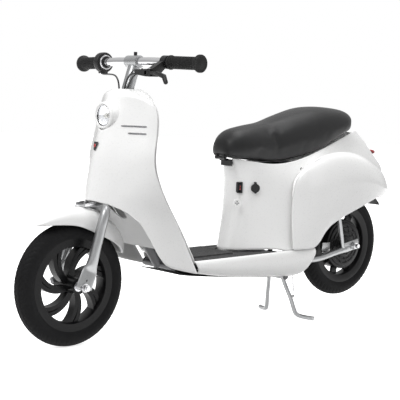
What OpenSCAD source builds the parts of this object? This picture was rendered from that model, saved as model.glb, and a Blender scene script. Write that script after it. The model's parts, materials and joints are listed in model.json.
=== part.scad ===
// Sit-down electric mini scooter in the retro moped style, standing on its centre stand.
// +X is forward, +Y is the rider's left, +Z is up and z = 0 is the ground.
// Every piece is drawn from the front axle and moved at the end, so that the origin lies
// in the middle of the scooter's length, on the ground.

/* [Wheels] */
// Distance from the front axle to the rear axle
wheelbase = 1007; // [850:1:1210]
// Outer diameter of both tyres
tyre_od = 318; // [265:1:382]
// Width of both tyres
tyre_w = 54; // [45:1:65]
// Height of the tyre wall above the rim flange
tyre_wall_h = 40; // [32:1:48]
// Thickness of the tyre's rubber
tyre_t = 4; // [3:0.5:5]
// Number of paired spokes in the front wheel
spoke_pairs = 7; // [5:1:9]
// Diameter of the front axle
front_axle_d = 10; // [8:0.5:12]
// Diameter of the rear axle
rear_axle_d = 12; // [10:0.5:14]
// How far the stand lifts the rear axle above the front axle
rear_lift = 43.6; // [30:0.1:56]
// Radius of the hub motor's drum
motor_r = 76; // [64:1:80]

/* [Steering] */
// Rake of the steering axis from the vertical
rake = 18; // [14:0.5:22]
// Diameter of the steerer tube
steerer_d = 25.4; // [21.2:0.1:30.5]
// Diameter of the fork legs
fork_leg_d = 26; // [21:0.5:31]
// Space between the tyre's side and a fork leg
fork_gap = 20; // [16:0.5:25]
// Length of the head tube
head_tube_l = 190; // [150:1:215]
// Wall of the head tube
head_tube_wall = 3; // [2:0.5:4]

/* [Handlebar] */
// Overall width over the grip ends
bar_w = 492; // [410:1:590]
// Diameter of the handlebar tube
bar_d = 22.2; // [18.5:0.1:26.6]
// Height of the middle of the handlebar above the ground
bar_z = 727; // [715:1:760]
// Length of the left grip
grip_l = 106; // [88:1:120]
// Length of the twist throttle's grip
throttle_l = 94; // [80:1:100]
// Diameter of the grips
grip_d = 31; // [28:0.5:36]
// Diameter of the round flange at a grip's end
grip_flange_d = 45; // [38:1:54]

/* [Body panels] */
// Width of the leg shield at its widest
shield_w = 276; // [240:1:320]
// Thickness of the moulded panels
panel_t = 3; // [2.5:0.1:4]
// Width over the floor's side sills
floor_w = 230; // [200:1:270]
// Width over the two tail cowls
cowl_w = 256; // [230:1:300]
// Gap from the front tyre to the wheel-arch opening
arch_gap = 59; // [52:1:70]
// Diameter of the headlight's bezel
lamp_d = 71; // [60:1:80]

/* [Seat] */
// Width of the saddle at its widest
seat_w = 212; // [180:1:250]
// Height of the saddle's crown above its lower edge
seat_h = 92; // [76:1:110]

/* [Stand] */
// Diameter of the stand's rod
stand_d = 12; // [10:0.5:14]
// Distance from one foot's end to the other
stand_foot_w = 228; // [190:1:270]

/* [Hidden] */
$fn = 48;

// ---- places that other pieces follow ----
tyre_r = tyre_od / 2;
drawn_r = 159;                    // wheel radius that the panels' outlines are drawn around
grow = tyre_r - drawn_r;          // the panels step back and up by this much from a larger wheel
rear_axle_z = tyre_r + rear_lift;
tail_reach = 1196;                // from the front axle to the tail's end at the drawn wheelbase
drawn_base = 1007;
mid_x = (tail_reach - drawn_base + wheelbase - grow - tyre_r) / 2;
run_gap = 0.05;                   // radial running clearance
part_gap = 0.4;                   // clearance between pieces that move past each other

function front_at(x, y, z) = [x - grow, y, z + 2 * grow];
function rear_at(x, y, z) = [x - wheelbase + grow, y, z + 2 * grow];
module front_group() translate([-grow, 0, 2 * grow]) children();
module rear_group() translate([grow - wheelbase, 0, 2 * grow]) children();

// ---- steering axis ----
crown_x = -75;
crown_z = 365;
axis_dir = [-sin(rake), 0, cos(rake)];
function on_axis(s) = front_at(crown_x, 0, crown_z) + s * axis_dir;
module steer_frame(s) translate(on_axis(s)) rotate([0, -rake, 0]) children();
head_tube_s = 9;
steerer_top_s = 330;
head_tube_d = steerer_d + 2 * (5 + head_tube_wall);
fork_y = tyre_w / 2 + fork_gap + fork_leg_d / 2;

// ---- vector and curve helpers ----
function span_point(a, b, c, d, t) = 0.5 * ((2 * b) + (c - a) * t
    + (2 * a - 5 * b + 4 * c - d) * t * t + (3 * b - a - 3 * c + d) * t * t * t);
function curve(p, n) = let (last = len(p) - 1) [for (k = [0 : n * last])
    let (i = min(floor(k / n), last - 1), t = k / n - i)
    span_point(i > 0 ? p[i - 1] : 2 * p[0] - p[1], p[i], p[i + 1],
        i + 2 <= last ? p[i + 2] : 2 * p[last] - p[last - 1], t)];
function swapped(m) = [for (j = [0 : len(m[0]) - 1]) [for (i = [0 : len(m) - 1]) m[i][j]]];
function skin(net, n_down, n_across) = swapped([for (c = swapped(
    [for (r = net) curve(r, n_across)])) curve(c, n_down)]);
function both_sides(net) = [for (r = net) concat(
    [for (j = [len(r) - 1 : -1 : 1]) [r[j][0], -r[j][1], r[j][2]]], r)];
function other_side(net) = [for (r = net) [for (j = [len(r) - 1 : -1 : 0]) [r[j][0], -r[j][1], r[j][2]]]];
function widened(net, k) = [for (r = net) [for (p = r) [p[0], p[1] * k, p[2]]]];
function is_ring(g) = norm(g[0][0] - g[0][len(g[0]) - 1]) < 0.01;
function normal_at(g, i, j) = let (
    last = len(g[0]) - 1,
    after = j < last ? j + 1 : is_ring(g) ? 1 : last,
    before = j > 0 ? j - 1 : is_ring(g) ? last - 1 : 0,
    a = g[min(i + 1, len(g) - 1)][j] - g[max(i - 1, 0)][j],
    b = g[i][after] - g[i][before],
    c = cross(a, b)) c / norm(c);
function shifted(g, t) = [for (i = [0 : len(g) - 1]) [for (j = [0 : len(g[0]) - 1])
    g[i][j] + t * normal_at(g, i, j)]];
function flat(g) = [for (r = g) for (p = r) p];

// A panel of even thickness whose outer face is the grid g; t points to the inner face.
// A grid whose first and last columns meet closes into a ring.
module panel(g, t) {
    rows = len(g);
    ring = is_ring(g);
    w = ring ? len(g[0]) - 1 : len(g[0]);
    n = rows * w;
    low = (rows - 1) * w;
    outer = [for (i = [0 : rows - 2]) for (j = [0 : len(g[0]) - 2])
        let (a = i * w + j, b = i * w + (j + 1) % w) each [[a, b, b + w], [a, b + w, a + w]]];
    inner = [for (f = outer) [f[2] + n, f[1] + n, f[0] + n]];
    loop = concat([for (j = [0 : w - 1]) j], [for (i = [1 : rows - 1]) i * w + w - 1],
        [for (j = [w - 2 : -1 : 0]) low + j], [for (i = [rows - 2 : -1 : 1]) i * w]);
    m = len(loop);
    edges = ring
        ? [for (j = [0 : w - 1]) each [[j, (j + 1) % w], [low + (j + 1) % w, low + j]]]
        : [for (k = [0 : m - 1]) [loop[k], loop[(k + 1) % m]]];
    rim = [for (e = edges) each [[e[1], e[0], e[0] + n], [e[1], e[0] + n, e[1] + n]]];
    faces = concat(outer, inner, rim);
    polyhedron(points = [for (h = [g, shifted(g, t)]) for (r = h) for (j = [0 : w - 1]) r[j]],
        faces = t > 0 ? [for (f = faces) [f[2], f[1], f[0]]] : faces);
}

// A closed solid through rings of equal length, with flat ends
module loft(rings) {
    n = len(rings[0]);
    last = len(rings) - 1;
    sides = [for (i = [0 : last - 1]) for (j = [0 : n - 1])
        let (a = i * n + j, b = i * n + (j + 1) % n) each [[a, b, b + n], [a, b + n, a + n]]];
    polyhedron(points = flat(rings), faces = concat(sides,
        [[for (j = [n - 1 : -1 : 0]) j]], [[for (j = [0 : n - 1]) last * n + j]]));
}

// Straight rod between two points
module rod(p, q, r) {
    v = q - p;
    translate(p) rotate([0, acos(v[2] / norm(v)), atan2(v[1], v[0])]) cylinder(h = norm(v), r = r);
}

// Smoothly bent tube: a round section swept along a curve through the points
module bent_tube(p, r) cord(p, r, 24, 4);

// Round rod with ball elbows a little fuller than the rod
module bent_rod(p, r) {
    for (i = [0 : len(p) - 2]) rod(p[i], p[i + 1], r);
    for (i = [1 : 1 : len(p) - 2]) translate(p[i]) sphere(r + 1);
}

// Ring about the Y axis from y0 to y1
module ring_y(y0, y1, r_out, r_in) {
    translate([0, y1, 0]) rotate([90, 0, 0]) difference() {
        cylinder(h = y1 - y0, r = r_out);
        if (r_in > 0) translate([0, 0, -1]) cylinder(h = y1 - y0 + 2, r = r_in);
    }
}

// Bar of rectangular section, w wide along Y and h high, from a to b
module flat_bar(a, b, w, h) {
    d = b - a;
    translate(a) rotate([0, -atan2(d[2], d[0]), 0]) translate([0, -w / 2, -h / 2]) cube([norm(d), w, h]);
}

// Solid turned about the Y axis from a profile of [radius, y]
module turned_y(profile) rotate([90, 0, 0])
    rotate_extrude($fn = 96) polygon([for (p = profile) [p[0], -p[1]]]);

// Cord of n sides swept along the curve through the route's points
module cord(route, r, n, steps) {
    p = curve(route, steps);
    last = len(p) - 1;
    function heading(i) = let (v = p[min(i + 1, last)] - p[max(i - 1, 0)]) v / norm(v);
    function side(i) = let (h = heading(i), away = abs(h[1]) < 0.9 ? [0, 1, 0] : [1, 0, 0], s = cross(h, away))
        s / norm(s);
    loft([for (i = [0 : last]) let (s = side(i), u = cross(heading(i), s))
        [for (k = [0 : n - 1]) p[i] + r * (cos(360 * k / n) * s + sin(360 * k / n) * u)]]);
}

// Every piece is moved so that the origin is in the middle of the length
module placed() translate([mid_x, 0, 0]) children();
module at_front_axle() translate([0, 0, tyre_r]) children();
module at_rear_axle() translate([-wheelbase, 0, rear_axle_z]) children();

// ---- wheels ----
bead_r = tyre_r - tyre_wall_h - 5;
rim_w = tyre_w - 10;
rim_in_r = bead_r - 18;
hub_r = 21;
spoke_depth = 26;
spoke_w = 10.5;
spoke_bend_r = 74;
bearing_w = 9;
front_hub_half = tyre_w / 2 + fork_gap - 6;
valve_turn = -48;

module tyre() color([0.08, 0.08, 0.08]) rotate([90, 0, 0]) rotate_extrude($fn = 96) {
    half = tyre_w / 2;
    seat = rim_w / 2 - 3;
    difference() {
        union() {
            intersection() {
                translate([tyre_r - half, 0]) circle(half);
                translate([bead_r + 6, -half]) square([tyre_r, tyre_w]);
            }
            translate([bead_r + 0.3, -seat]) square([10, 2 * seat]);
            translate([bead_r + 5.6, -half + 4]) square([5, tyre_w - 8]);
        }
        translate([tyre_r - half, 0]) circle(half - tyre_t);
        translate([bead_r - 1, -seat + tyre_t]) square([14, 2 * (seat - tyre_t)]);
    }
}

module rim_barrel() {
    h = rim_w / 2;
    turned_y([[rim_in_r + 3, -h], [bead_r + 5, -h], [bead_r + 5, -h + 2.5], [bead_r, -h + 3],
        [bead_r - 2, -h + 9], [bead_r - 9, -h + 13], [bead_r - 9, h - 13], [bead_r - 2, h - 9],
        [bead_r, h - 3], [bead_r + 5, h - 2.5], [bead_r + 5, h], [rim_in_r + 3, h],
        [rim_in_r, h - 6], [rim_in_r, -h + 6]]);
}

// One curved spoke arm in the wheel's plane: part of a ring that bends away from the radius
module spoke_arm(turn, bend_r, reach, w) rotate(turn) intersection() {
    translate([reach / 2, sqrt(bend_r * bend_r - reach * reach / 4)]) difference() {
        circle(bend_r + w / 2, $fn = 64);
        circle(bend_r - w / 2, $fn = 64);
    }
    translate([2, -reach / 2]) square(reach);
}
module spoke_star() rotate([90, 0, 0]) linear_extrude(spoke_depth, center = true) intersection() {
    for (k = [0 : spoke_pairs - 1]) {
        for (half = [-5.5, 5.5])
            spoke_arm(65 + half + k * 360 / spoke_pairs, spoke_bend_r, rim_in_r + 6, spoke_w);
    }
    difference() {
        circle(rim_in_r + 2);
        circle(hub_r - 3);
    }
}

module front_rim() color([0.07, 0.07, 0.07]) at_front_axle() difference() {
    union() {
        rim_barrel();
        ring_y(-front_hub_half, front_hub_half, hub_r, 0);
        spoke_star();
    }
    ring_y(-60, 60, front_axle_d / 2 + 2, 0);
    for (s = [-1, 1]) translate([0, s * (front_hub_half - bearing_w / 2), 0])
        ring_y(-bearing_w / 2 - 0.01, bearing_w / 2 + 0.01, front_axle_d / 2 + 8, 0);
    // hole for the valve
    rotate([0, -valve_turn, 0]) translate([rim_in_r - 26, 0, 0]) rotate([0, 90, 0])
        cylinder(h = 40, r = 4.1);
}

module front_tyre() at_front_axle() tyre();
module rear_tyre() at_rear_axle() tyre();

module front_valve() color([0.7, 0.68, 0.6]) at_front_axle() rotate([0, -valve_turn, 0])
    translate([rim_in_r - 18, 0, 0]) rotate([0, 90, 0]) {
        cylinder(h = 20, r = 4);
        translate([0, 0, -7]) cylinder(h = 8, r = 2.6);
    }

module front_bearings() color([0.6, 0.6, 0.62]) at_front_axle() for (s = [-1, 1])
    translate([0, s * (front_hub_half - bearing_w / 2), 0])
        ring_y(-bearing_w / 2, bearing_w / 2, front_axle_d / 2 + 8, front_axle_d / 2 + run_gap);

dropout_y = fork_y + 2;
dropout_t = 6;
module front_axle() color([0.55, 0.55, 0.56]) at_front_axle() {
    ring_y(-dropout_y - 21, dropout_y + 21, front_axle_d / 2, 0);
    for (s = [-1, 1]) translate([0, s * (front_hub_half + 2), 0])
        ring_y(-1.7, 1.7, front_axle_d / 2 + 4, front_axle_d / 2 - 0.5);
    for (s = [-1, 1]) translate([0, s * (front_hub_half + dropout_y) / 2, 0])
        ring_y(-(dropout_y - front_hub_half) / 2 + 1, (dropout_y - front_hub_half) / 2 - 0.1,
            front_axle_d / 2 + 3.5, front_axle_d / 2 - 0.5);
}

// Six-sided nut about the Y axis
module nut_y(flats, h, bore) rotate([90, 0, 0]) difference() {
    cylinder(h = h, r = flats / sqrt(3), center = true, $fn = 6);
    cylinder(h = h + 2, r = bore, center = true);
}

module front_axle_nuts() color([0.78, 0.78, 0.8]) at_front_axle() for (s = [-1, 1])
    translate([0, s * (dropout_y + dropout_t), 0]) {
        translate([0, s * 1.6, 0]) ring_y(-1, 1, front_axle_d / 2 + 6, front_axle_d / 2 + run_gap);
        translate([0, s * 7, 0]) nut_y(front_axle_d + 6, 8, front_axle_d / 2 + run_gap);
    }

// ---- fork and fender ----
module fork() color([0.62, 0.63, 0.65]) {
    difference() {
        union() {
            for (s = [-1, 1]) {
                bent_rod([front_at(-75, s * (fork_y - 6), 347),
                    front_at(-79, s * fork_y, 322), front_at(-64, s * fork_y, 268),
                    [-20, s * fork_y, tyre_r + 42]], fork_leg_d / 2);
                // flattened end that holds the axle
                translate([0, s * (dropout_y + dropout_t / 2), tyre_r]) rotate([0, -26, 0])
                    translate([0, 0, 17]) cube([40, dropout_t, 60], center = true);
                translate([-20, s * (dropout_y + dropout_t / 2), tyre_r + 42]) rotate([0, -26, 0])
                    cube([fork_leg_d - 3, 12, 14], center = true);
            }
            rod(front_at(-71, -fork_y + 6, 355), front_at(-71, fork_y - 6, 355), 9);
            steer_frame(-9) cylinder(h = steerer_top_s + 9, r = steerer_d / 2);
            steer_frame(0) cylinder(h = 6, r = steerer_d / 2 + 6);
        }
        at_front_axle() ring_y(-fork_y - 40, fork_y + 40, front_axle_d / 2 + run_gap, 0);
        for (s = [-1, 1]) translate([-7, s * dropout_y, tyre_r + 17])
            ring_y(-20, 20, 3, 0);
    }
}

// angle about the axle, radius of the crown, radius of the lower edge, half width
fender_rows = [[55, 188, 186, 5], [60, 192, 178, 23], [70, 197, 166, 33], [90, 199, 151, 37],
    [112, 199, 141, 37], [133, 196, 149, 36], [147, 188, 162, 28], [157, 179, 176, 7]];
fender_half = tyre_w / 2 + 9.5;
function fender_row(a, crown, low, half) = let (k = half / 37 * fender_half)
    [for (p = [[0, 0], [0.5, 0.06], [0.82, 0.24], [0.97, 0.55], [1, 1]])
        let (r = crown + (low - crown) * p[1] + grow)
        [r * cos(a), k * p[0], r * sin(a) + tyre_r]];
module front_fender() color([0.95, 0.95, 0.95])
    panel(skin(both_sides([for (f = fender_rows) fender_row(f[0], f[1], f[2], f[3])]), 3, 2),
        panel_t - 0.8);

module fender_bracket() color([0.6, 0.6, 0.62]) {
    difference() {
        union() {
            translate(front_at(-43, 0, 360)) rotate([0, 9, 0]) cube([32, 44, 2.4], center = true);
            for (s = [-1, 1]) translate(front_at(-41, s * 20.8, 362.8)) rotate([0, 9, 0])
                cube([26, 2.4, 6], center = true);
        }
        translate(front_at(-43, 0, 355)) cylinder(h = 20, r = 3.2);
    }
}

module headset_bearings() color([0.45, 0.45, 0.47]) for (s = [head_tube_s + 2,
    head_tube_s + head_tube_l - 12])
    steer_frame(s) difference() {
        cylinder(h = 10, r = head_tube_d / 2 - head_tube_wall - 0.01);
        translate([0, 0, -1]) cylinder(h = 12, r = steerer_d / 2 + run_gap);
    }

// ---- handlebar ----
bar_mid = [-188 - grow, 0, bar_z + 2 * grow];
bar_half = bar_w / 2;
bend_y = 70;
sweep_x = -15;
drop_z = -4.5;
bar_end = bar_mid + [sweep_x, bar_half, drop_z];
function bar_dir(s) = let (v = [sweep_x, s * (bar_half - bend_y), drop_z]) v / norm(v);
function bar_pt(y) = let (s = sign(y), k = (abs(y) - bend_y) / (bar_half - bend_y))
    abs(y) <= bend_y ? bar_mid + [0, y, 0] : bar_mid + [sweep_x * k, y, drop_z * k];
// Frame whose Z axis runs outward along the bar from the point at y
module bar_frame(y) {
    v = bar_dir(sign(y));
    translate(bar_pt(y)) rotate([0, acos(v[2]), atan2(v[1], v[0])]) rotate([0, 0, 90]) children();
}

module handlebar() color([0.85, 0.85, 0.87])
    bent_rod([bar_pt(-bar_half + 7), bar_pt(-bend_y), bar_pt(bend_y), bar_pt(bar_half - 7)], bar_d / 2);

module steering_stem() color([0.7, 0.7, 0.72]) difference() {
    union() {
        steer_frame(278) cylinder(h = 96, r = steerer_d / 2 + 3);
        translate([bar_mid[0], 0, bar_mid[2]]) ring_y(-24, 24, bar_d / 2 + 5, 0);
    }
    steer_frame(200) cylinder(h = steerer_top_s - 200 + 1, r = steerer_d / 2 + 0.02);
    translate([bar_mid[0], 0, bar_mid[2]]) ring_y(-26, 26, bar_d / 2 + 0.02, 0);
}

module stem_bolt() color([0.15, 0.15, 0.15]) translate(bar_mid + [-4, 0, bar_d / 2 + 5.2]) difference() {
    cylinder(h = 9, r = 4.5);
    translate([0, 0, 5]) cylinder(h = 6, r = 2.4, $fn = 6);
}

// Grip profile of [distance along the bar, radius]: ribs, collar and end flange
module grip_body(l) difference() {
    union() {
        cylinder(h = l, r = grip_d / 2);
        for (k = [0 : 8]) translate([0, 0, 10 + k * (l - 30) / 8]) cylinder(h = 3, r = grip_d / 2 + 0.8);
        cylinder(h = 5, r = grip_d / 2 + 3);
        translate([0, 0, l - 11]) cylinder(h = 6, r1 = grip_d / 2, r2 = grip_flange_d / 2);
        translate([0, 0, l - 5]) cylinder(h = 7, r = grip_flange_d / 2);
    }
    translate([0, 0, -1]) cylinder(h = l - 3, r = bar_d / 2 + run_gap);
}

module left_grip() color([0.1, 0.1, 0.1]) bar_frame(bar_half - grip_l) grip_body(grip_l);
module throttle_grip() color([0.1, 0.1, 0.1]) bar_frame(-bar_half + throttle_l) grip_body(throttle_l);

house_y = bar_half - throttle_l - part_gap;
module throttle_housing() color([0.09, 0.09, 0.09]) bar_frame(-house_y) difference() {
    union() {
        translate([0, 0, -20]) cylinder(h = 20, r = 27);
        translate([0, 0, -26]) cylinder(h = 7, r = 17);
        translate([-13, -30, -19]) cube([26, 30, 18]);
    }
    translate([0, 0, -30]) cylinder(h = 40, r = bar_d / 2 + run_gap);
}

// ---- front brake lever ----
perch_y = bar_half - grip_l - 14;
perch_p = bar_pt(perch_y);
lever_p = perch_p + [44, -12, -28];
module brake_perch() color([0.1, 0.1, 0.1]) difference() {
    union() {
        bar_frame(perch_y) translate([0, 0, -9]) cylinder(h = 18, r = bar_d / 2 + 6);
        hull() {
            translate(perch_p + [14, 0, -6]) rotate([0, 32, 0]) cube([10, 17, 18], center = true);
            translate(lever_p + [-6, 4, 0]) cube([20, 20, 19], center = true);
        }
        hull() {
            translate(lever_p + [-4, 2, 0]) cube([22, 18, 19], center = true);
            translate(lever_p + [-2, -52, 2]) cube([13, 8, 12], center = true);
        }
    }
    bar_frame(perch_y) translate([0, 0, -20]) cylinder(h = 40, r = bar_d / 2 + run_gap);
    translate(lever_p + [14, 22, 0]) cube([44, 70, 9.6], center = true);
    translate(lever_p + [0, 0, -20]) cylinder(h = 40, r = 3);
    translate(lever_p + [0, 0, 9.5]) cylinder(h = 14, r = 4.8);
}

module brake_lever() color([0.1, 0.1, 0.1]) {
    difference() {
        union() {
            translate(lever_p + [0, 0, -4.3]) cylinder(h = 8.6, r = 8);
            hull() {
                translate(lever_p + [1, 3, -4.3]) cylinder(h = 8.6, r = 6, $fn = 32);
                translate(lever_p + [6, 34, -5]) cylinder(h = 8.6, r = 5.5, $fn = 32);
            }
            hull() {
                translate(lever_p + [6, 34, -5]) cylinder(h = 8.6, r = 5.5, $fn = 32);
                translate(lever_p + [4, 62, -13]) cylinder(h = 8.6, r = 5, $fn = 32);
            }
            hull() {
                translate(lever_p + [4, 62, -13]) cylinder(h = 8.6, r = 5, $fn = 32);
                translate(lever_p + [6, 72, -23]) sphere(5.6, $fn = 32);
            }
        }
        translate(lever_p + [0, 0, -10]) cylinder(h = 20, r = 2.5 + run_gap);
    }
}

module lever_screw() color([0.6, 0.6, 0.62]) {
    translate(lever_p + [0, 0, -11]) cylinder(h = 21, r = 2.5);
    translate(lever_p + [0, 0, 9.6]) cylinder(h = 2.6, r = 4.6);
}

// ---- cables at the steering ----
cable_r = 2.6;
brake_route = [lever_p + [-2, -56.2, 2], lever_p + [-4, -74, 0], on_axis(352) + [24, 40, 4],
    on_axis(335) + [25, 20, 0], on_axis(305) + [19, 11, 0], on_axis(262) + [18, 8, 0],
    on_axis(236) + [18, 7, 0]];
throttle_route = [bar_pt(-house_y) + [3, 10, -33], bar_pt(-house_y) + [14, 28, -35],
    on_axis(335) + [27, -30, 5], on_axis(305) + [18, -13, 0], on_axis(262) + [18, -8, 0],
    on_axis(236) + [18, -7, 0]];
module brake_cable_front() color([0.05, 0.05, 0.05]) cord(brake_route, cable_r, 8, 5);
module throttle_wire() color([0.05, 0.05, 0.05]) cord(throttle_route, cable_r - 0.4, 8, 5);

// ---- frame ----
module head_tube() color([0.3, 0.3, 0.31]) steer_frame(head_tube_s) difference() {
    cylinder(h = head_tube_l, r = head_tube_d / 2);
    translate([0, 0, -1]) cylinder(h = head_tube_l + 2, r = steerer_d / 2 + 2);
    for (z = [-1, head_tube_l - 12]) translate([0, 0, z])
        cylinder(h = 13, r = head_tube_d / 2 - head_tube_wall);
}

down_r = 17;
down_low = [-292, 0, 190];
rail_y = 48;
rail_r = 11;
rail_z = 186;
rail_rear_x = 250;
module down_tube() color([0.3, 0.3, 0.31]) difference() {
    bent_tube([on_axis(head_tube_s + 95), front_at(-165, 0, 392), front_at(-224, 0, 290),
        front_at(down_low[0], 0, down_low[2])], down_r);
    steer_frame(-20) cylinder(h = 420, r = head_tube_d / 2 + 0.02);
    rod(front_at(down_low[0], -60, down_low[2]), front_at(down_low[0], 60, down_low[2]), rail_r + 0.02);
}

module floor_rails() color([0.3, 0.3, 0.31]) {
    rod(front_at(down_low[0], -rail_y - rail_r, down_low[2]),
        front_at(down_low[0], rail_y + rail_r, down_low[2]), rail_r);
    for (s = [-1, 1]) rod(front_at(down_low[0] - rail_r - 0.3, s * rail_y, down_low[2] - 3),
        rear_at(rail_rear_x, s * rail_y, rail_z - 6), rail_r);
}

stay_y = tyre_w / 2 + 35;
stay_r = 9.3;
rear_drop_y = stay_y - 3;
module rear_frame() color([0.55, 0.56, 0.58]) difference() {
    union() {
        rod(rear_at(rail_rear_x - rail_r - 0.3, -stay_y, rail_z - 8),
            rear_at(rail_rear_x - rail_r - 0.3, stay_y, rail_z - 8), rail_r);
        for (s = [-1, 1]) {
            stay = [rear_at(rail_rear_x - rail_r, s * stay_y, rail_z - 8), rear_at(171, s * stay_y, 172),
                rear_at(102, s * stay_y, 182), [-wheelbase + 22, s * stay_y, rear_axle_z - 8]];
            for (i = [0 : 2]) flat_bar(stay[i], stay[i + 1], 2 * stay_r - 1, 2 * stay_r);
            for (i = [1, 2]) translate(stay[i]) ring_y(-stay_r - 0.2, stay_r + 0.2, stay_r + 0.8, 0);
            // axle plate
            translate([-wheelbase, s * stay_y, rear_axle_z]) rotate([0, 10, 0])
                translate([8, 0, 0]) cube([64, 7, 30], center = true);
            // strut up into the tail
            rod([-wheelbase + 45, s * stay_y, rear_axle_z - 8], rear_at(140, s * (stay_y - 8), 446), 6.5);
        }
        // slotted lug plate on the left stay
        difference() {
            translate(rear_at(98, stay_y - 19, 193)) cube([34, 8, 34], center = true);
            translate(rear_at(102, stay_y - 19, 200)) cube([14, 10, 5], center = true);
        }
        translate(rear_at(98, stay_y - 12, 186)) cube([16, 16, 9], center = true);
    }
    at_rear_axle() ring_y(-stay_y - 20, stay_y + 20, rear_axle_d / 2 + run_gap, 0);
}

seat_rail_z = 446;
module seat_frame() color([0.3, 0.3, 0.31]) for (s = [-1, 1]) {
    rod(rear_at(342, s * rail_y, rail_z + rail_r - 2), rear_at(342, s * rail_y, seat_rail_z), 7);
    rod(rear_at(360, s * rail_y, seat_rail_z), rear_at(150, s * (stay_y - 4), seat_rail_z), 9);
}

// ---- front panels: rows run from the top down, columns from the spine to the rear edge ----
shield_k = shield_w / 276;
hole_r = 34;
arch_r = tyre_r + arch_gap - grow;
function arch_z(x) = drawn_r + sqrt(arch_r * arch_r - x * x);
shield_net = [
    [for (a = [0 : 15 : 90]) [-169 + hole_r * cos(a), hole_r * sin(a), 656]],
    [[-118, 0, 646], [-122, 24, 646], [-131, 44, 645], [-141, 60, 644], [-149, 73, 642],
        [-158, 85, 639], [-166, 95, 636]],
    [[-107, 0, 620], [-115, 28, 619], [-129, 52, 617], [-140, 72, 614], [-150, 90, 610],
        [-161, 107, 605], [-172, 121, 598]],
    [[-90, 0, 562], [-99, 27, 561], [-118, 54, 557], [-130, 76, 554], [-141, 97, 550],
        [-153, 115, 545], [-167, 129, 540]],
    [[-68, 0, 485], [-77, 27, 483], [-98, 54, 479], [-112, 78, 475], [-125, 102, 472],
        [-139, 122, 469], [-155, 137, 466]],
    [[-57, 0, 425], [-66, 28, 422], [-89, 56, 413], [-109, 80, 404], [-130, 102, 396],
        [-156, 124, 390], [-188, 138, 386]],
    [[-53, 0, 398], [-62, 29, 394], [-87, 57, 381], [-124, 84, 353], [-162, 106, 328],
        [-204, 121, 312], [-250, 127, 303]],
    [[-50, 0, arch_z(50)], [-60, 30, arch_z(60)], [-92, 60, arch_z(92)], [-150, 95, arch_z(150)],
        [-211, 109, arch_z(211)], [-262, 112, 190], [-334, 112, 173]]];
lamp_at = front_at(-92, 0, 586);
module leg_shield() color([0.96, 0.96, 0.96]) difference() {
    front_group() panel(skin(both_sides(widened(shield_net, shield_k)), 3, 2), -panel_t);
    // opening for the headlight
    translate(lamp_at + [-60, 0, 0]) rotate([0, 90, 0]) cylinder(h = 90, r = lamp_d / 2 + 0.4);
}

apron_net = [
    [[-203, 0, 656], [-200, 13, 656], [-190, 27, 656], [-171, 34, 656]],
    [[-217, 0, 642], [-210, 38, 641], [-192, 72, 638], [-171, 94, 635]],
    [[-215, 0, 602], [-209, 44, 601], [-196, 84, 599], [-178, 120, 597]],
    [[-206, 0, 540], [-201, 44, 540], [-189, 88, 540], [-173, 128, 540]],
    [[-194, 0, 466], [-188, 46, 466], [-176, 92, 466], [-161, 136, 466]],
    [[-220, 0, 384], [-216, 46, 384], [-206, 92, 385], [-193, 137, 386]],
    [[-273, 0, 300], [-271, 44, 300], [-265, 88, 301], [-256, 126, 303]],
    [[-330, 0, 209], [-329, 38, 209], [-326, 74, 209], [-322, 112, 210]]];
module rear_apron() color([0.96, 0.96, 0.96]) front_group()
    panel(skin(both_sides(widened(apron_net, shield_k)), 2, 2), panel_t);

// Inner wall of the wheel arch, inside the shield's lower edge
liner_row = [[-56, 20], [-92, 52], [-122, 72], [-150, 88], [-182, 98], [-208, 103], [-216, 102]];
function liner_z(x) = drawn_r + sqrt(pow(arch_r + 14, 2) - x * x);
module arch_liner() color([0.95, 0.95, 0.95]) difference() {
    front_group() panel([for (p = curve(liner_row, 3))
        [for (k = [-1 : 0.5 : 1]) [p[0], p[1] * k, liner_z(p[0])]]], -2);
    front_group() hull() for (x = [-20, -146]) translate([x, 0, 280]) cylinder(h = 120, r = 24, $fn = 32);
}

// ---- headlight: axis along X ----
module lamp_ring(x0, x1, r_out, r_in) translate(lamp_at + [x0, 0, 0]) rotate([0, 90, 0]) difference() {
    cylinder(h = x1 - x0, r = r_out);
    translate([0, 0, -1]) cylinder(h = x1 - x0 + 2, r = r_in);
}
module lamp_housing() color([0.96, 0.96, 0.96]) {
    lamp_ring(-20, -6, lamp_d / 2 - 1, lamp_d / 2 - 4);
    lamp_ring(-18, -16, lamp_d / 2 - 3.5, 5);
}
module lamp_bezel() color([0.9, 0.9, 0.92]) translate(lamp_at) rotate([0, 90, 0]) rotate_extrude($fn = 96)
    polygon([[lamp_d / 2 - 9, -4], [lamp_d / 2, -5.8], [lamp_d / 2, -3], [lamp_d / 2 - 2, 0.5],
        [lamp_d / 2 - 6, 1.5], [lamp_d / 2 - 9, -1]]);
module lamp_reflector() color([0.85, 0.85, 0.87]) translate(lamp_at) rotate([0, 90, 0])
    rotate_extrude($fn = 96)
    polygon([[4.4, -14], [13, -13], [20, -10.5], [lamp_d / 2 - 9.5, -6.5], [lamp_d / 2 - 8, -6.5],
        [21, -12], [14, -14.6], [4.4, -15.6]]);
module lamp_bulb() color([0.95, 0.93, 0.8]) translate(lamp_at + [-20, 0, 0]) rotate([0, 90, 0]) {
    cylinder(h = 12, r = 4);
    translate([0, 0, 12]) sphere(4);
}
module lamp_lens() color([0.9, 0.95, 1, 0.4]) translate(lamp_at) rotate([0, 90, 0]) intersection() {
    translate([0, 0, -70]) difference() {
        sphere(71, $fn = 96);
        sphere(69, $fn = 96);
    }
    translate([0, 0, -8]) cylinder(h = 12, r = lamp_d / 2 - 9.4);
}

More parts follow.
